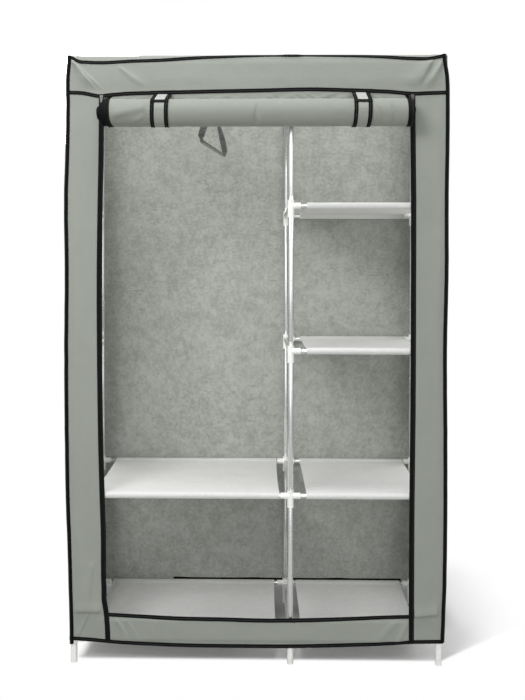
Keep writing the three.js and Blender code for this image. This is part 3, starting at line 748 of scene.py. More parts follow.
# How far the front stands out of its plane: soft slack, tension folds from the corners, creases low down.
def frontSwell(x, z):
    wide, low = np.abs(x), inside(z, 0.09, 0.9, 0.05, 0.5)
    header = slack(x, z, frontPanel["headerSlack"]) + creases(x, z, frontPanel["headerCreases"])
    header = header + folds(x, z, frontPanel["headerFolds"])
    swell = header * inside(z, 1.648, 1.744, 0.040, 0.02) * ease((0.533 - wide) / 0.014)

    strips = slack(x, z, frontPanel["stripSlack"]) + frontPanel["stripRipple"] * ripple(x, z, 0.03, 0.12, 9.0)
    swell = swell + strips * inside(wide, 0.445, 0.537, 0.02) * inside(z, 0.1, 1.63, 0.1)

    within = inside(wide, 0.440, 0.529, 0.014)
    atLeft = low * (creases(x, z, frontPanel["lowLeftCreases"]) + folds(x, z, frontPanel["lowLeftFolds"]))
    atLeft = atLeft + ease((z - 0.075) / 0.01) * creases(x, z, frontPanel["cornerCreases"])
    atRight = low * creases(-x, z, frontPanel["mirrored"])
    sill = z - np.where(x < 0, 0.153 - 0.012 * (x + 0.49), 0.148 + 0.10 * (x - 0.49))
    ledge = frontPanel["ledge"] * ridge(sill, np.where(sill < 0, frontPanel["ledgeBelow"], frontPanel["ledgeAbove"]))
    swell = swell + within * (np.where(x < 0, atLeft, atRight) + ledge)

    hem = slack(x, z, frontPanel["hemSlack"]) + folds(x, z, frontPanel["hemFolds"])
    for upper, lower, height in frontPanel["hemBows"]:
        bow = x - 0.010 * hump((z - 0.062) / 0.08) * math.copysign(1, lower - upper)
        hem = hem + crease(bow, z, (upper, 0.142), (lower, 0.062), 0.0055, 0.016, height)
    swell = swell + hem * ease((0.46 - wide) / 0.04) * inside(z, 0.062, 0.136, 0.012)
    return np.maximum(swell, 0)


# The radius of the front's bend over the rail, tighter at the posts, and the height where it starts.
def topBend(x):
    nearPost = sum(ridge(x - post, 0.022) for post in columnX.values())
    radius = mix(frontPanel["bend"], frontPanel["bendAtPost"], np.clip(nearPost * 1.6, 0, 1))
    return radius, cover["top"] - radius


# A point on the front face, s up it and on over the rail's rounded edge, lifted off the cloth.
def frontSkin(x, s, lift=0.0):
    radius, bend = topBend(x)
    angle = np.clip((s - bend) / radius, 0, math.pi / 2)
    beyond = np.maximum(s - bend - radius * math.pi / 2, 0)
    out = lift + frontSwell(x, np.minimum(s, cover["top"])) * ease((bend - s) / 0.006)
    y = frontY + radius * (1 - np.cos(angle)) - out * np.cos(angle) + beyond
    return x, y, np.minimum(s, bend) + (radius + out) * np.sin(angle)


# How far up the front's profile the top seam lies, which is read as a height.
def topSeam(x):
    z = through(cover["topSeam"], x)
    radius, bend = topBend(x)
    return np.where(z > bend, bend + radius * np.arcsin(np.clip((z - bend) / radius, 0, 0.98)), z)


def headerSeam(x):
    return through(cover["headerSeam"], x)


def hemLine(x):
    return through(cover["hem"], x)


def stripTop(x):
    return through(cover["stripTop"], x)


def widthAt(u, z):
    return mix(-edgeX(-1, z) + 0.0004, edgeX(1, z) - 0.0004, u)


# A share that runs outwards, away from the middle, on both sides.
def outward(side, u):
    return u if side > 0 else 1 - u


coverPieces = {}


def sewn(name, columns, rows, place, node, finish="cover"):
    piece, flat = clothSheet(name, columns, rows, place, cover["cloth"])
    settle(piece, finish, stands=[node])
    coverPieces[name] = (piece, flat, [])


binding = {"half": 0.0055, "topHalf": 0.0050, "lift": 0.0011, "cloth": 0.0010, "hemRise": 0.0045}


# A binding: across its width a runs from -half to half, with a raised edge on both sides.
def bindingHeight(a, half, lift=binding["lift"]):
    a = np.abs(a) / half
    return lift + 0.0005 * ridge(a - 0.74, 0.2) - 0.0005 * ridge(a, 0.22) - 0.0006 * ease((a - 0.9) / 0.1)


def bound(name, columns, rows, place, owner=None, body="root", finish="binding", stands=(), thick=binding["cloth"]):
    piece, _ = clothSheet(name, columns, rows, place, thick, centred=True)
    settle(piece, finish, body=body, stands=stands)
    if owner:
        coverPieces[owner][2].append(piece)
    return piece


def headerPlace(u, v):
    x = widthAt(packed(u), 1.70)
    return frontSkin(x, mix(headerSeam(x), topSeam(x), v))


sewn("cover_header_cloth", 380, 60, headerPlace, "cover_header")


def stripPlace(side):
    def place(u, v):
        z = mix(0.07, 1.643, v)
        inner, outer = zipX(side, z) + side * binding["half"], side * (edgeX(side, z) - 0.0004)
        x = mix(inner, outer, outward(side, u))
        return frontSkin(x, mix(hemLine(x) - 0.004, headerSeam(x), v))
    return place


for name, side in sides.items():
    sewn(f"cover_front_{name}_cloth", 44, 420, stripPlace(side), f"cover_front_{name}")


def bottomPlace(u, v):
    x = mix(zipX(-1, 0.11) + binding["half"], zipX(1, 0.11) - binding["half"], packed(u))
    return frontSkin(x, mix(hemLine(x) - 0.004, stripTop(x), v))


sewn("cover_bottom_cloth", 320, 26, bottomPlace, "cover_bottom_strip")


# Sides: a soft belly between the corner seams, with slack that gathers into long folds.
sidePanel = {
    "belly": 0.005, "railDent": 0.0012, "hem": 0.073,
    "creases": [((frontY, 1.745), (frontY + 0.150, 1.38), 0.008, 0.026, 0.0050),
                ((frontY, 1.745), (frontY + 0.225, 1.50), 0.008, 0.022, 0.0036),
                ((rearY, 0.085), (rearY - 0.170, 0.34), 0.008, 0.024, 0.0044)],
    "mirrored": [((-rearY, 1.745), (-rearY + 0.150, 1.42), 0.008, 0.026, 0.0046),
                 ((-frontY, 0.085), (-frontY - 0.140, 0.36), 0.008, 0.024, 0.0040)],
}


def sideSwell(side, y, z):
    deep = hump((y - frontY) / (rearY - frontY)) ** 0.7
    tall = hump((z - 0.07) / 1.68) ** 0.6
    swell = sidePanel["belly"] + slack(y, z, [(0.0026, 0.09, 0.55, 21.0 + side), (0.0012, 0.05, 0.18, 24.0 + side)])
    swell = swell - sidePanel["railDent"] * sum(ridge(z - level, 0.03) for level in levelZ[1:4])
    gathered = creases(y, z, sidePanel["creases"]) + creases(-y, z, sidePanel["mirrored"])
    return deep * tall * swell + deep ** 0.5 * gathered * inside(z, 0.076, 1.744, 0.05, 0.07)


def sidePlace(side):
    def place(u, v):
        y = mix(frontY, rearY, outward(side, u))
        z = mix(sidePanel["hem"], cover["top"] - 0.0006, v)
        return side * (edgeX(side, z) + sideSwell(side, y, z)), y, z
    return place


for name, side in sides.items():
    sewn(f"cover_side_{name}_cloth", 70, 200, sidePlace(side), f"cover_side_{name}")


# Rear: three long faint folds and, low down, slanting ones.
rearPanel = {
    "slack": [(0.0006, 0.10, 0.5, 31.0), (0.0006, 0.04, 0.10, 33.0)],
    "long": [(-0.277, 0.006, 0.0040), (-0.006, -0.004, 0.0034), (0.275, 0.004, 0.0040)],     # x, lean, height
    "slanting": [((-0.47, 0.33), (-0.43, 0.10), 0.010, 0.0035), ((-0.30, 0.31), (-0.265, 0.10), 0.011, 0.0030),
                 ((0.42, 0.35), (0.47, 0.12), 0.012, 0.0022)],
    "hem": 0.070,
}


def rearSwell(x, z):
    down = np.clip((1.75 - z) / 1.6, 0, 1)
    swell = slack(x, z, rearPanel["slack"]) + folds(x, z, rearPanel["slanting"])
    for place, lean, height in rearPanel["long"]:
        swell = swell + height * down ** 0.6 * ridge(x - place - lean * down, 0.017 + 0.012 * down)
    return swell * ease((0.53 - np.abs(x)) / 0.05) * ease((1.744 - z) / 0.03)


def rearPlace(u, v):
    z = mix(rearPanel["hem"], cover["top"] - 0.0006, v)
    x = widthAt(1 - u, z)
    return x, rearY + rearSwell(x, z), z


sewn("cover_rear_cloth", 200, 160, rearPlace, "cover_rear", "rear")


# Top: from the front binding over the rail, crowned, and down to the rear edge.
topPanel = {
    "half": 0.5372, "crown": 0.0062, "slack": [(0.0009, 0.2, 0.14, 41.0)],
    "folds": [((-0.537, frontY), (-0.36, frontY + 0.12), 0.012, 0.0014),
              ((0.537, frontY), (0.38, frontY + 0.12), 0.012, 0.0014)],
}


def topPlace(u, v):
    x = mix(-topPanel["half"], topPanel["half"], u)
    _, y, z = frontSkin(x, mix(topSeam(x) - 0.001, cover["top"] + rearY - frontY - 0.001, v))
    across = hump((y - frontY) / (rearY - frontY))
    rise = topPanel["crown"] * across ** 0.8 * hump(u) ** 0.35 + across * folds(x, y, topPanel["folds"])
    rise = rise + slack(x, y, topPanel["slack"]) * across ** 0.5 * hump(u) ** 0.3
    return x, np.minimum(y, rearY), z + rise


sewn("cover_top_cloth", 160, 70, topPlace, "cover_top")
print("wardrobe: cover panels sewn")


# Bindings over the seams and hems

def onFront(line, reach, half=binding["half"], lift=None):
    def place(u, v):
        a, x = mix(half, -half, u), mix(*reach, v)
        return frontSkin(x, line(x) + a, bindingHeight(a, half, lift(x) if lift else binding["lift"]))
    return place


def seamLift(x):
    overStraps = sum(ease((0.042 - np.abs(x - at)) / 0.012) for at in strapX.values())
    return mix(0.0012, 0.0024, ease((0.444 - np.abs(x)) / 0.01)) + 0.0018 * overStraps


bound("binding_header_seam", 8, 300, onFront(headerSeam, (-0.5385, 0.5385), lift=seamLift), "cover_header_cloth")
bound("binding_top_front", 8, 300, onFront(topSeam, (-0.5385, 0.5385), binding["topHalf"]), "cover_top_cloth")
bound("binding_bottom_strip", 8, 200, onFront(stripTop, (-0.427, 0.442)), "cover_bottom_cloth")
bound("binding_hem_front", 8, 300, onFront(hemLine, (-0.538, 0.538)), "cover_bottom_cloth")


# The zip's tape: its teeth run along the edge that faces the opening.
def zipPlace(side):
    def place(u, v):
        s, a = mix(0.066, 1.6385, v), mix(-0.0075, 0.0075, u)
        return frontSkin(zipX(side, s) + a, s, 0.0009 + 0.0013 * ridge(a + side * 0.0048, 0.0013))
    return place


for name, side in sides.items():
    bound(f"zip_tape_{name}_cloth", 20, 260, zipPlace(side), f"cover_front_{name}_cloth", finish="zip",
          stands=[f"zip_tape_{name}"], thick=0.0008)

# Corner bindings: round each upright corner, wider on the front and rear faces than on the sides.
corner = {
    "inward": [(0, -0.0010), (0.2, -0.0015), (0.36, -0.0021), (0.46, -0.0014), (0.58, 0.0010), (0.72, 0.0038),
               (0.86, 0.0066), (1, 0.0082)],
    "back": [(0, 0.0060), (0.2, 0.0032), (0.36, 0.0006), (0.46, -0.0013), (0.58, -0.0020), (0.72, -0.0011),
             (0.86, -0.0014), (1, -0.0005)],
}


def cornerPlace(side, row, low):
    def place(u, v):
        t, z = outward(-side * row, u), mix(low, cover["top"], v)
        wobble = 0.0005 * ripple(z, z * 0, 0.05, 1, 50.0 + side + 3 * row)
        x = side * (edgeX(side, z) - through(corner["inward"], t) + wobble)
        return x, (frontY if row < 0 else rearY) - row * through(corner["back"], t), z
    return place


for name, side in sides.items():
    for row, depth in ((-1, "front"), (1, "rear")):
        low = 0.0565 if (name, depth) == ("left", "front") else 0.0695
        bound(f"binding_corner_{depth}_{name}", 14, 220, cornerPlace(side, row, low), f"cover_side_{name}_cloth")


# Bindings along the top's side and rear edges, and along the side and rear hems
overEdge = [(0, 0.0085), (0.45, 0.0004), (0.6, -0.0016), (0.75, -0.0018), (1, -0.0012)]
downEdge = [(0, 0.0010), (0.3, 0.0017), (0.5, 0.0016), (0.65, 0.0002), (1, -0.0060)]


def topSidePlace(side):
    def place(u, v):
        t = outward(side, u)
        y = mix(frontY + 0.001, rearY - 0.001, v)
        return side * (0.5373 - through(overEdge, t)), y, cover["top"] + through(downEdge, t)
    return place


def topRearPlace(u, v):
    return mix(-0.538, 0.538, v), rearY - through(overEdge, u), cover["top"] + through(downEdge, u)


for name, side in sides.items():
    bound(f"binding_top_{name}", 12, 90, topSidePlace(side), "cover_top_cloth")
bound("binding_top_rear", 12, 200, topRearPlace, "cover_top_cloth")


def sideHemPlace(side):
    def place(u, v):
        a = mix(-binding["half"], binding["half"], u)
        y, z = mix(frontY, rearY, outward(-side, v)), sidePanel["hem"] + binding["hemRise"] + a
        return side * (edgeX(side, z) + sideSwell(side, y, z) + bindingHeight(a, binding["half"])), y, z
    return place


def rearHemPlace(u, v):
    a, x = mix(-binding["half"], binding["half"], u), mix(-0.538, 0.538, v)
    z = rearPanel["hem"] + binding["hemRise"] + a
    return x, rearY + rearSwell(x, z) + bindingHeight(a, binding["half"]), z


# The hem folds over to the inside too, where it is seen through the open front.
def rearInnerHemPlace(u, v):
    x = mix(-0.2855, 0.496, v)
    z = rearPanel["hem"] + binding["hemRise"] + mix(binding["half"], -binding["half"], u)
    return x, rearY + rearSwell(x, z) - cover["cloth"] - 0.0001, z


for name, side in sides.items():
    bound(f"binding_hem_side_{name}", 8, 90, sideHemPlace(side), f"cover_side_{name}_cloth")
bound("binding_hem_rear", 8, 200, rearHemPlace, "cover_rear_cloth")
bound("binding_hem_rear_inner", 6, 200, rearInnerHemPlace, "cover_rear_cloth", thick=0.0004)
print("wardrobe: bindings sewn")


# The rolled door: a spiral of cloth, its ends slipped outwards turn by turn, with bound edges.

roll = {
    "radius": 0.0390, "z": 1.5792, "pitch": 0.003, "turns": 9.2, "end": {-1: -0.4235, 1: 0.4335},
    "slip": {-1: 0.0026, 1: 0.0010}, "tape": 0.0150,
    "raised": [((-0.470, 0.033), (-0.285, -0.010), 0.0080, 0.024, 0.0060),
               ((-0.350, 0.046), (-0.294, 0.002), 0.0042, 0.0060, 0.0030)],
    "sunk": [((0.0005, -0.022), (-0.0015, 0.036), 0.0040, 0.012, 0.0044),
             ((0.330, -0.012), (0.352, 0.030), 0.0042, 0.010, 0.0030),
             ((0.372, -0.020), (0.384, 0.030), 0.0042, 0.010, 0.0030)],
}
roll["y"] = rollBackY - roll["radius"]


def rollSkin(x, turn, lift=0.0):
    angle, around, outer = -2 * math.pi * turn, turn * 0.25, np.exp(-turn / 2.5)
    swell = outer * (0.0011 * ripple(x, around, 0.11, 0.07, 61.0) + 0.0006 * ripple(x, around, 0.03, 0.05, 64.0))
    pinch = sum(ridge(x - at, 0.034) for at in strapX.values())
    swell = np.clip(swell * (1 - 0.8 * np.clip(pinch, 0, 1)) - 0.0004 * outer * pinch, -0.0022, 0.0012)
    shown = np.exp(-np.maximum(turn - 1, 0) * 3) * ease((turn - 0.2) / 0.1) * inside(x, -0.408, 0.418, 0.02)
    down = (0.5 - turn) * 2 * math.pi * roll["radius"]     # length of cloth below the roll's front
    swell = swell + shown * (ease((-0.303 - x) / 0.012) * creases(x, down, roll["raised"])
                             - creases(x, down, roll["sunk"]))
    radius = roll["radius"] - roll["pitch"] * turn + swell + lift
    return x, roll["y"] + radius * np.cos(angle), roll["z"] + radius * np.sin(angle)


def rollTurn(v):
    return roll["turns"] * (1 - v) ** 1.4


def rollEnd(side, turn):
    wander = 0.0016 * np.sin(turn * 5.1 + side) + 0.0011 * np.sin(turn * 2.3)
    tucked = 0.008 * ridge(turn - 0.22, 0.12) if side < 0 else 0
    return roll["end"][side] + side * roll["slip"][side] * turn + wander + tucked


def rollPlace(u, v):
    turn = rollTurn(v)
    return rollSkin(mix(rollEnd(-1, turn) + 0.003, rollEnd(1, turn) - 0.003, u), turn)


def rollTapePlace(side):
    def place(u, v):
        turn, a = rollTurn(v), mix(0, roll["tape"], outward(-side, u))
        teeth = 0.0009 * ridge(a - 0.0016, 0.0013)
        return rollSkin(rollEnd(side, turn) - side * a, turn, 0.0004 + teeth)
    return place


rollCloth, rollFlat = clothSheet("door_roll_cloth", 200, 232, rollPlace)
settle(rollCloth, "door", body="door", stands=["door_roll"])
rollTapes = [bound(f"door_roll_tape_{name}", 8, 300, rollTapePlace(side), finish="zip", body="door", thick=0.0013)
             for name, side in sides.items()]

# The leader: the flat cloth above the roll. Its edges start behind the roll's ends and widen to the zips.
leader = {"end": {-1: -0.4215, 1: 0.434}, "tape": 0.013, "wide": {-1: 0.4378, 1: 0.4425}, "start": 1.6335,
          "low": roll["z"], "y": rollBackY - 0.0007}


def leaderSkin(x, v, lift=0.0):
    z, seam = mix(leader["low"], headerSeam(x) + 0.003, v), headerSeam(x) - 0.004
    share = hump((seam - z) / (seam - leader["low"])) * ease((seam - z) / 0.008)
    pleats = ripple(x + 1.6 * (z - 1.63), z, 0.016, 0.09, 71.0)
    pleats = pleats + 0.8 * ripple(x - 2.2 * (z - 1.63), z, 0.030, 0.12, 73.0)
    return x, leader["y"] - 0.0018 * share * (1 + np.clip(1.4 * pleats, -1, 1)) - lift, z


def leaderEdge(side, v):
    z = mix(leader["low"], leader["start"], v)
    return mix(leader["end"][side], side * leader["wide"][side], ease((leader["start"] - z - 0.004) / 0.014))


def leaderPlace(u, v):
    return leaderSkin(mix(leaderEdge(-1, v) + 0.006, leaderEdge(1, v) - 0.006, u), v)


def leaderTapePlace(side):
    def place(u, v):
        return leaderSkin(leaderEdge(side, v) - side * leader["tape"] * outward(-side, u), v, 0.0004)
    return place


leaderCloth, leaderFlat = clothSheet("door_leader_cloth", 260, 70, leaderPlace)
settle(leaderCloth, "door")
leaderTapes = [bound(f"door_leader_tape_{name}", 6, 70, leaderTapePlace(side), finish="zip", thick=0.0012)
               for name, side in sides.items()]
for piece in (leaderCloth, *leaderTapes):
    piece.parent = None
    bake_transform(piece)
for piece in (rollCloth, *rollTapes):
    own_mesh(piece)
print("wardrobe: door rolled")


# Straps: each is sewn under the header seam and goes round the roll; its loose half starts at the roll's front.

strap = {"half": 0.025, "radius": 0.0396, "cloth": 0.0009, "edge": 0.0112, "split": 177.0, "tailFrom": 177.8,
         "tailTo": 328.0, "crossAt": 141.0, "crossHalf": 0.0052, "endAt": 0.0055, "seamY": frontY - 0.0014,
         "seamDrop": 0.0042, "patchHalf": 0.0142}
strapHalves = {"fixed": {"lean": (0, -0.0015), "held": "stretched", "rests": "cover_header_cloth"},
               "tail": {"lean": (-0.0015, -0.0045), "held": "folded", "rests": "door_roll_cloth"}}


# A strap's run as (y, z): its straight part from the header seam, and its arc round the roll.
def strapRun(which, x):
    radius = strap["radius"] + 0.0009

    def arc(first, last, count):
        angles = np.radians(np.linspace(first, last, count))
        return np.column_stack([roll["y"] + radius * np.cos(angles), roll["z"] + radius * np.sin(angles)])

    if which == "tail":
        return arc(strap["tailFrom"], strap["tailTo"], 80)
    seamZ = headerSeam(x) - strap["seamDrop"]
    dy, dz = strap["seamY"] - roll["y"], seamZ - roll["z"]
    bend = arc(math.degrees(math.atan2(dz, dy) + math.acos(radius / math.hypot(dy, dz))), strap["split"], 40)
    straight = [(mix(strap["seamY"], bend[0, 0], t), mix(seamZ, bend[0, 1], t)) for t in np.linspace(0, 0.98, 24)]
    return np.vstack([straight, bend])


# A point at share v along a strap's run, at x and lifted off its inner face.
def strapSkin(run, x, v, lift, step=0.0008):
    length = runAlong(run)

    def along(at):
        return [np.interp(np.clip(at, 0, length[-1]), length, way) for way in run.T]

    at = v * length[-1]
    (y, z), (nearY, nearZ), (farY, farZ) = along(at), along(at - step), along(at + step)
    size = np.hypot(farY - nearY, farZ - nearZ)
    return x, y + lift * (farZ - nearZ) / size, z - lift * (farY - nearY) / size


def modelStrap(name, x, which, half):
    run = strapRun(which, x)
    length = runAlong(run)[-1]
    edge = strap["edge"] / 2
    body = "root" if which == "fixed" else f"strap_{name}"
    title = f"strap_{name}_{which}"

    def onStrap(a, v, lift):
        return strapSkin(run, x + a + mix(*half["lean"], v), v, lift)

    def clothPlace(u, v):
        a = mix(-strap["half"] + 0.004, strap["half"] - 0.004, u)
        return onStrap(a, 1 - v, 0.0003 * ripple(a, 1 - v, 0.02, 0.15, 80 + x))

    def edgePlace(side):
        def place(u, v):
            a = mix(-edge, edge, u)
            return onStrap(side * (strap["half"] - edge) + a, 1 - v, bindingHeight(a, edge, 0.0006))
        return place

    def crossPlace(at, lift):
        def place(u, v):
            a = mix(strap["crossHalf"], -strap["crossHalf"], u)
            across = mix(-strap["half"] - 0.0004, strap["half"] + 0.0004, 1 - v)
            return onStrap(across, at + a / length, bindingHeight(a, strap["crossHalf"], lift))
        return place

    cloth, flat = clothSheet(title, 16, 60, clothPlace, strap["cloth"])
    settle(cloth, "cover", body=body, stands=[f"strap_tail_{name}"] if which == "tail" else [])
    trims = [bound(f"{title}_edge_{edgeName}", 8, 60, edgePlace(side), body=body, thick=0.0015)
             for edgeName, side in sides.items()]
    if which == "fixed":
        crossAt = 1 - math.radians(strap["split"] - strap["crossAt"]) * strap["radius"] / length

        def patchPlace(u, v):
            return onStrap(mix(-strap["patchHalf"], strap["patchHalf"], u), mix(crossAt, 0.0, v), 0.0003)

        patch, _ = clothSheet(f"{title}_patch", 12, 40, patchPlace, 0.0008)
        trims += [settle(patch, "patch", body=body),
                  bound(f"{title}_cross", 10, 24, crossPlace(crossAt, 0.0024), body=body, thick=0.0016)]
    else:
        trims.append(bound(f"{title}_end", 6, 24, crossPlace(1 - strap["endAt"] / length, 0.0012), body=body,
                           thick=0.0016))


for name, x in strapX.items():
    for which, half in strapHalves.items():
        modelStrap(name, x, which, half)

for name, (piece, flat, trims) in coverPieces.items():
    "stretched" if name == "cover_top_cloth" else "hung"


# Zip sliders: a rounded body with a raised bridge, and a pull with a sunken face hanging from it.

slider = {"size": (0.0096, 0.0024, 0.0145), "drop": 0.0075, "bridge": 0.0034, "bridgeWire": 0.0008,
          "bridgeFlat": 0.32, "pull": (0.005, 0.0011, 0.0205), "pullDrop": 0.0015}


def plate(name, place, size, inset, depth, rounding, segments):
    piece = start(name, bpy.ops.mesh.primitive_cube_add, size=1, location=place, scale=size)
    onFaces(piece, lambda c, n: abs(n.y) > 0.9, (bpy.ops.mesh.inset, {"thickness": inset, "depth": depth}))
    return bevel(piece, rounding, segments, 30)


def modelSlider(name):
    low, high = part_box(f"zip_slider_{name}")
    x, y, z = (low.x + high.x) / 2, high.y, high.z - slider["drop"]
    body = plate(f"slider_{name}", (x, y - 0.0013, z), slider["size"], 0.0012, 0.0, 0.0009, 3)
    bridge = placeInMesh(start("bridge", bpy.ops.mesh.primitive_torus_add, major_radius=slider["bridge"],
                               minor_radius=slider["bridgeWire"], major_segments=28, minor_segments=10,
                               location=(x, y - 0.0022, z), rotation=(0, math.pi / 2, 0)))
    for vertex in bridge.data.vertices:
        vertex.co.y = mix(y - 0.0022, vertex.co.y, slider["bridgeFlat"])
    pull = plate("pull", (x, y - 0.0026, z - slider["pullDrop"] - slider["pull"][2] / 2), slider["pull"],
                 0.0011, -0.0003, 0.0004, 2)
    piece = smooth(joined(f"zip_slider_{name}_metal", body, bridge, pull), 40)
    settle(piece, "zipMetal", body=f"slider_{name}", stands=[f"zip_slider_{name}"])


for name in sides:
    modelSlider(name)


# The hanger: a moulded loop with a channelled section, a neck, and a wire hook that turns in it.

hanger = {"x": middle("hanger_hook").x, "turn": -7.5, "half": 0.200, "barZ": hangZ - 0.222, "neckZ": hangZ - 0.095,
          "tip": 1.9, "tipRise": 0.028, "section": 0.0045, "neck": 0.006, "bore": 0.0041, "broad": 0.95,
          "hookInner": 0.011, "wire": 0.002}


# A smooth curve through the points, with a round or a given section, made a mesh.
def rope(name, points, closed, radius=0.0, section=None):
    curve = bpy.data.curves.new(name, "CURVE")
    curve.dimensions = "3D"
    curve.resolution_u = 10
    curve.twist_mode = "Z_UP" if section else "MINIMUM"
    spline = curve.splines.new("NURBS")
    spline.points.add(len(points) - 1)
    for point, co in zip(spline.points, points):
        point.co = (*co, 1)
    spline.use_cyclic_u, spline.use_endpoint_u, spline.order_u = closed, not closed, 3
    if section:
        curve.bevel_mode, curve.bevel_object = "OBJECT", section
    else:
        curve.bevel_depth, curve.bevel_resolution, curve.use_fill_caps = radius, 5, True
    piece = bpy.data.objects.new(name, curve)
    bpy.context.scene.collection.objects.link(piece)
    only(piece)
    bpy.ops.object.convert(target="MESH")
    return facesOut(bpy.context.object)


def channelSection():
    curve = bpy.data.curves.new("section", "CURVE")
    spline = curve.splines.new("POLY")
    h = hanger["section"]
    quarter = [(h - 0.0008, -h), (h, -h + 0.0008), (h, -h + 0.0022), (0.0014, -h + 0.0034)]
    half = quarter + [(a, -b) for a, b in quarter[::-1]]
    shape = half + [(-a, b) for a, b in half[::-1]]
    spline.points.add(len(shape) - 1)
    for point, (a, b) in zip(spline.points, shape[-2:] + shape[:-2]):
        point.co = (a, b, 0, 1)
    spline.use_cyclic_u = True
    piece = bpy.data.objects.new("section", curve)
    bpy.context.scene.collection.objects.link(piece)
    return piece


def hangerLoop():
    half, bar = hanger["half"] - hanger["section"], hanger["barZ"]
    neck, tip = hanger["neckZ"] - 0.0055, hanger["barZ"] + hanger["tipRise"]
    points = [(s, bar) for s in np.linspace(0, half - 0.045, 6)[1:]]
    points += [(half - 0.030, bar), (half - 0.012, bar), (half - 0.002, bar + 0.006), (half - 0.001, bar + 0.017),
               (half - 0.012, tip - 0.002)]
    slope = ((0.8, 0.20), (0.6, 0.42), (0.4, 0.67), (0.22, 0.87))
    points += [(half * out, tip + (neck - tip) * up) for out, up in slope]
    points += [(half * 0.1, neck - 0.001), (0.0, neck + 0.0004)]
    return [(0, s, z) for s, z in points] + [(0, -s, z) for s, z in points[-2::-1]] + [(0, 0, bar)]


neckZ = hanger["neckZ"]
turnHanger = Matrix.Translation((hanger["x"], hangY, 0)) @ Matrix.Rotation(math.radians(hanger["turn"]), 4, "Z")
tipHanger = (Matrix.Translation((0, 0, hangZ)) @ Matrix.Rotation(math.radians(hanger["tip"]), 4, "X")
             @ Matrix.Translation((0, 0, -hangZ)))
section = channelSection()
loop = rope("hanger_loop", hangerLoop(), True, section=section)
bpy.data.objects.remove(section)
neck = start("neck", bpy.ops.mesh.primitive_cylinder_add, vertices=36, radius=hanger["neck"], depth=0.024,
             location=(0, 0, neckZ + 0.0075))
onFaces(neck, lambda c, n: n.z > 0.9, (bpy.ops.mesh.inset, {"thickness": 0.0008}))
bevel(neck, 0.0010, 3, 50)
carve(neck, [start("bore", bpy.ops.mesh.primitive_cylinder_add, vertices=24, radius=hanger["bore"], depth=0.0204,
                   location=(0, 0, neckZ + 0.0104))], "DIFFERENCE")
loop = joined("hanger_moulding", loop, facesOut(neck))
for vertex in loop.data.vertices:       # the shoulders broaden towards their ends
    along, above = abs(vertex.co.y), vertex.co.z - hanger["barZ"]
    vertex.co.x *= 1 + hanger["broad"] * float(ease((along - 0.06) / 0.10) * ease((above - 0.006) / 0.010))
loop.data.transform(turnHanger @ tipHanger)
settle(smooth(loop, 40), "hanger", body="hanger", stands=["hanger_body"])

bend = hanger["hookInner"] + hanger["wire"]
bendZ = hangZ + tubeRadius + 0.0003 - hanger["hookInner"]
hookPoints = [(0, 0, neckZ + rise) for rise in (0.0008, 0.010, 0.022, 0.045)]
hookPoints += [(0, bend * math.cos(a), bendZ + bend * math.sin(a)) for a in np.radians(np.linspace(-48, 205, 22))]
hook = rope("hanger_hook_wire", hookPoints, False, radius=hanger["wire"])
hook.data.transform(turnHanger @ tipHanger)
settle(smooth(hook, 60), "wire", body="hook", stands=["hanger_hook"])
print("wardrobe: zip sliders and hanger made")


# Floor, light and camera

def paleFloor():
    f = Finish("paleFloor")
    x, y, _ = f.split(f.place())
    beside = f.over(x - 0.56) + f.over(x * -8.5 - 4.2) * f.band(y, 0.05, 0.22, 1.0, 0.0) + f.over(x * -8.5 - 4.95)
    behind = f.over(y - 0.46)
    before = f.over(y * -16.0 - 2.20 + f.over(x - 0.54) * 12.5)
    # away from under the wardrobe
    away = f.band((beside * beside + behind * behind + before * before) ** 0.5, 0.0, 0.34, 0.04, 1.0)
    ray = f.node("ShaderNodeLightPath", output="Is Camera Ray")
    colour = f.blend(ray, shade(178, 178, 176), shade(248, 248, 247))     # what it throws back is darker than it looks
    # Painted shadow: for camera rays the floor just behind the wardrobe, seen through the gaps low down, is darkened.
    paintedShadowBehind = f.band(y, 0.04, 0.20) * f.band(y, 0.36, 0.52, 1.0, 0.0) * f.band(f.size(x), 0.54, 0.68, 1.0, 0.0)
    colour = f.blend(paintedShadowBehind * ray, colour, shade(112, 113, 110))
    # Painted shadow: for camera rays the floor under the front hem is darkened to an even grey.
    colour = f.blend(f.band(y, -0.165, -0.085, 0.28, 0.0) * ray, colour, shade(132, 133, 130))
    sockets = {"Base Color": colour, "Roughness": 0.75, "Specular IOR Level": 0.2}
    matte = f.node("ShaderNodeBsdfPrincipled", None, sockets)
    white = f.node("ShaderNodeEmission", None, {"Color": (1, 1, 1, 1), "Strength": 1.0})
    mixed = f.node("ShaderNodeMixShader", None, {0: away * ray, 1: matte, 2: white})
    f.node("ShaderNodeOutputMaterial", None, {"Surface": mixed})
    return f.owner


floor = start("floor", bpy.ops.mesh.primitive_plane_add, size=16)
floor.data.materials.append(paleFloor())


# The world is white where it is seen and softer where it only lights.
def studioWorld():
    f = Finish("studio", "worlds")
    rays = [f.node("ShaderNodeLightPath", output=f"Is {kind} Ray") for kind in ("Camera", "Glossy")]
    seen = f.maths("MAXIMUM", *rays)
    soft = f.node("ShaderNodeBackground", None, {"Color": (0.98, 0.99, 1, 1), "Strength": 0.48})
    bright = f.node("ShaderNodeBackground", None, {"Color": (1, 1, 1, 1), "Strength": 1.0})
    mixed = f.node("ShaderNodeMixShader", None, {0: seen, 1: soft, 2: bright})
    f.node("ShaderNodeOutputWorld", None, {"Surface": mixed})
    return f.owner


bpy.context.scene.world = studioWorld()

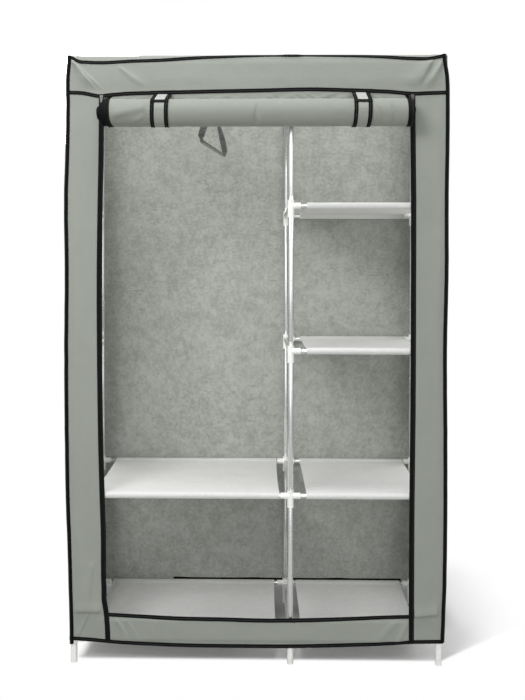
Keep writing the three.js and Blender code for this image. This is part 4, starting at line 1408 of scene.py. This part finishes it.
lights = {
    "key": {"at": (-1.3, -2.3, 2.7), "aim": (0, 0, 1.2), "size": (1.2, 1.2), "power": 47},
    "front": {"at": (0.2, -4.2, 1.25), "aim": (0, 0, 1.0), "size": (2.6, 2.0), "power": 23},
    "above": {"at": (0.1, -0.75, 4.2), "aim": (0, -0.3, 0), "size": (0.9, 0.9), "power": 44},
    "right": {"at": (3.6, -0.5, 2.6), "aim": (0.5, 0, 0.9), "size": (1.4, 1.4), "power": 34},
    "behind": {"at": (-1.6, 3.6, 2.8), "aim": (0, 0.2, 0.9), "size": (1.4, 1.4), "power": 40},
    # The thin cloth lets light through.
    "throughTop": {"at": (0, 0.03, 1.712), "aim": (0, 0.03, 0), "size": (1.0, 0.36), "power": 2.3},
    "throughLeft": {"at": (-0.497, 0.02, 0.9), "aim": (0, 0.02, 0.9), "size": (0.34, 1.5), "power": 1.5},
    "throughRight": {"at": (0.503, 0.02, 0.9), "aim": (0, 0.02, 0.9), "size": (0.34, 1.5), "power": 1.2},
}
for name, light in lights.items():
    lamp = bpy.data.lights.new(name, "AREA")
    lamp.shape, lamp.energy = "RECTANGLE", light["power"]
    lamp.size, lamp.size_y = light["size"]
    holder = bpy.data.objects.new(name, lamp)
    holder.location = light["at"]
    aim = Vector(light["aim"]) - Vector(light["at"])
    holder.rotation_euler = aim.to_track_quat("-Z", "Y").to_euler() if aim.xy.length > 0.01 else (0, 0, 0)
    holder.visible_camera = holder.visible_glossy = not name.startswith("through")
    bpy.context.scene.collection.objects.link(holder)

view = {"lens": 40.43, "sensor": 36, "shift": (0.02135, -0.09596), "at": (0.0109, -2.43145, 1.1301),
        "turn": (89.248, -0.06, 0.894)}
camera = bpy.data.cameras.new("camera")
camera.lens, camera.sensor_width, camera.sensor_fit = view["lens"], view["sensor"], "AUTO"
camera.shift_x, camera.shift_y = view["shift"]
eye = bpy.data.objects.new("camera", camera)
eye.location = view["at"]
eye.rotation_euler = [math.radians(degrees) for degrees in view["turn"]]
bpy.context.scene.collection.objects.link(eye)
bpy.context.scene.camera = eye
bpy.context.scene.view_settings.view_transform = "Standard"
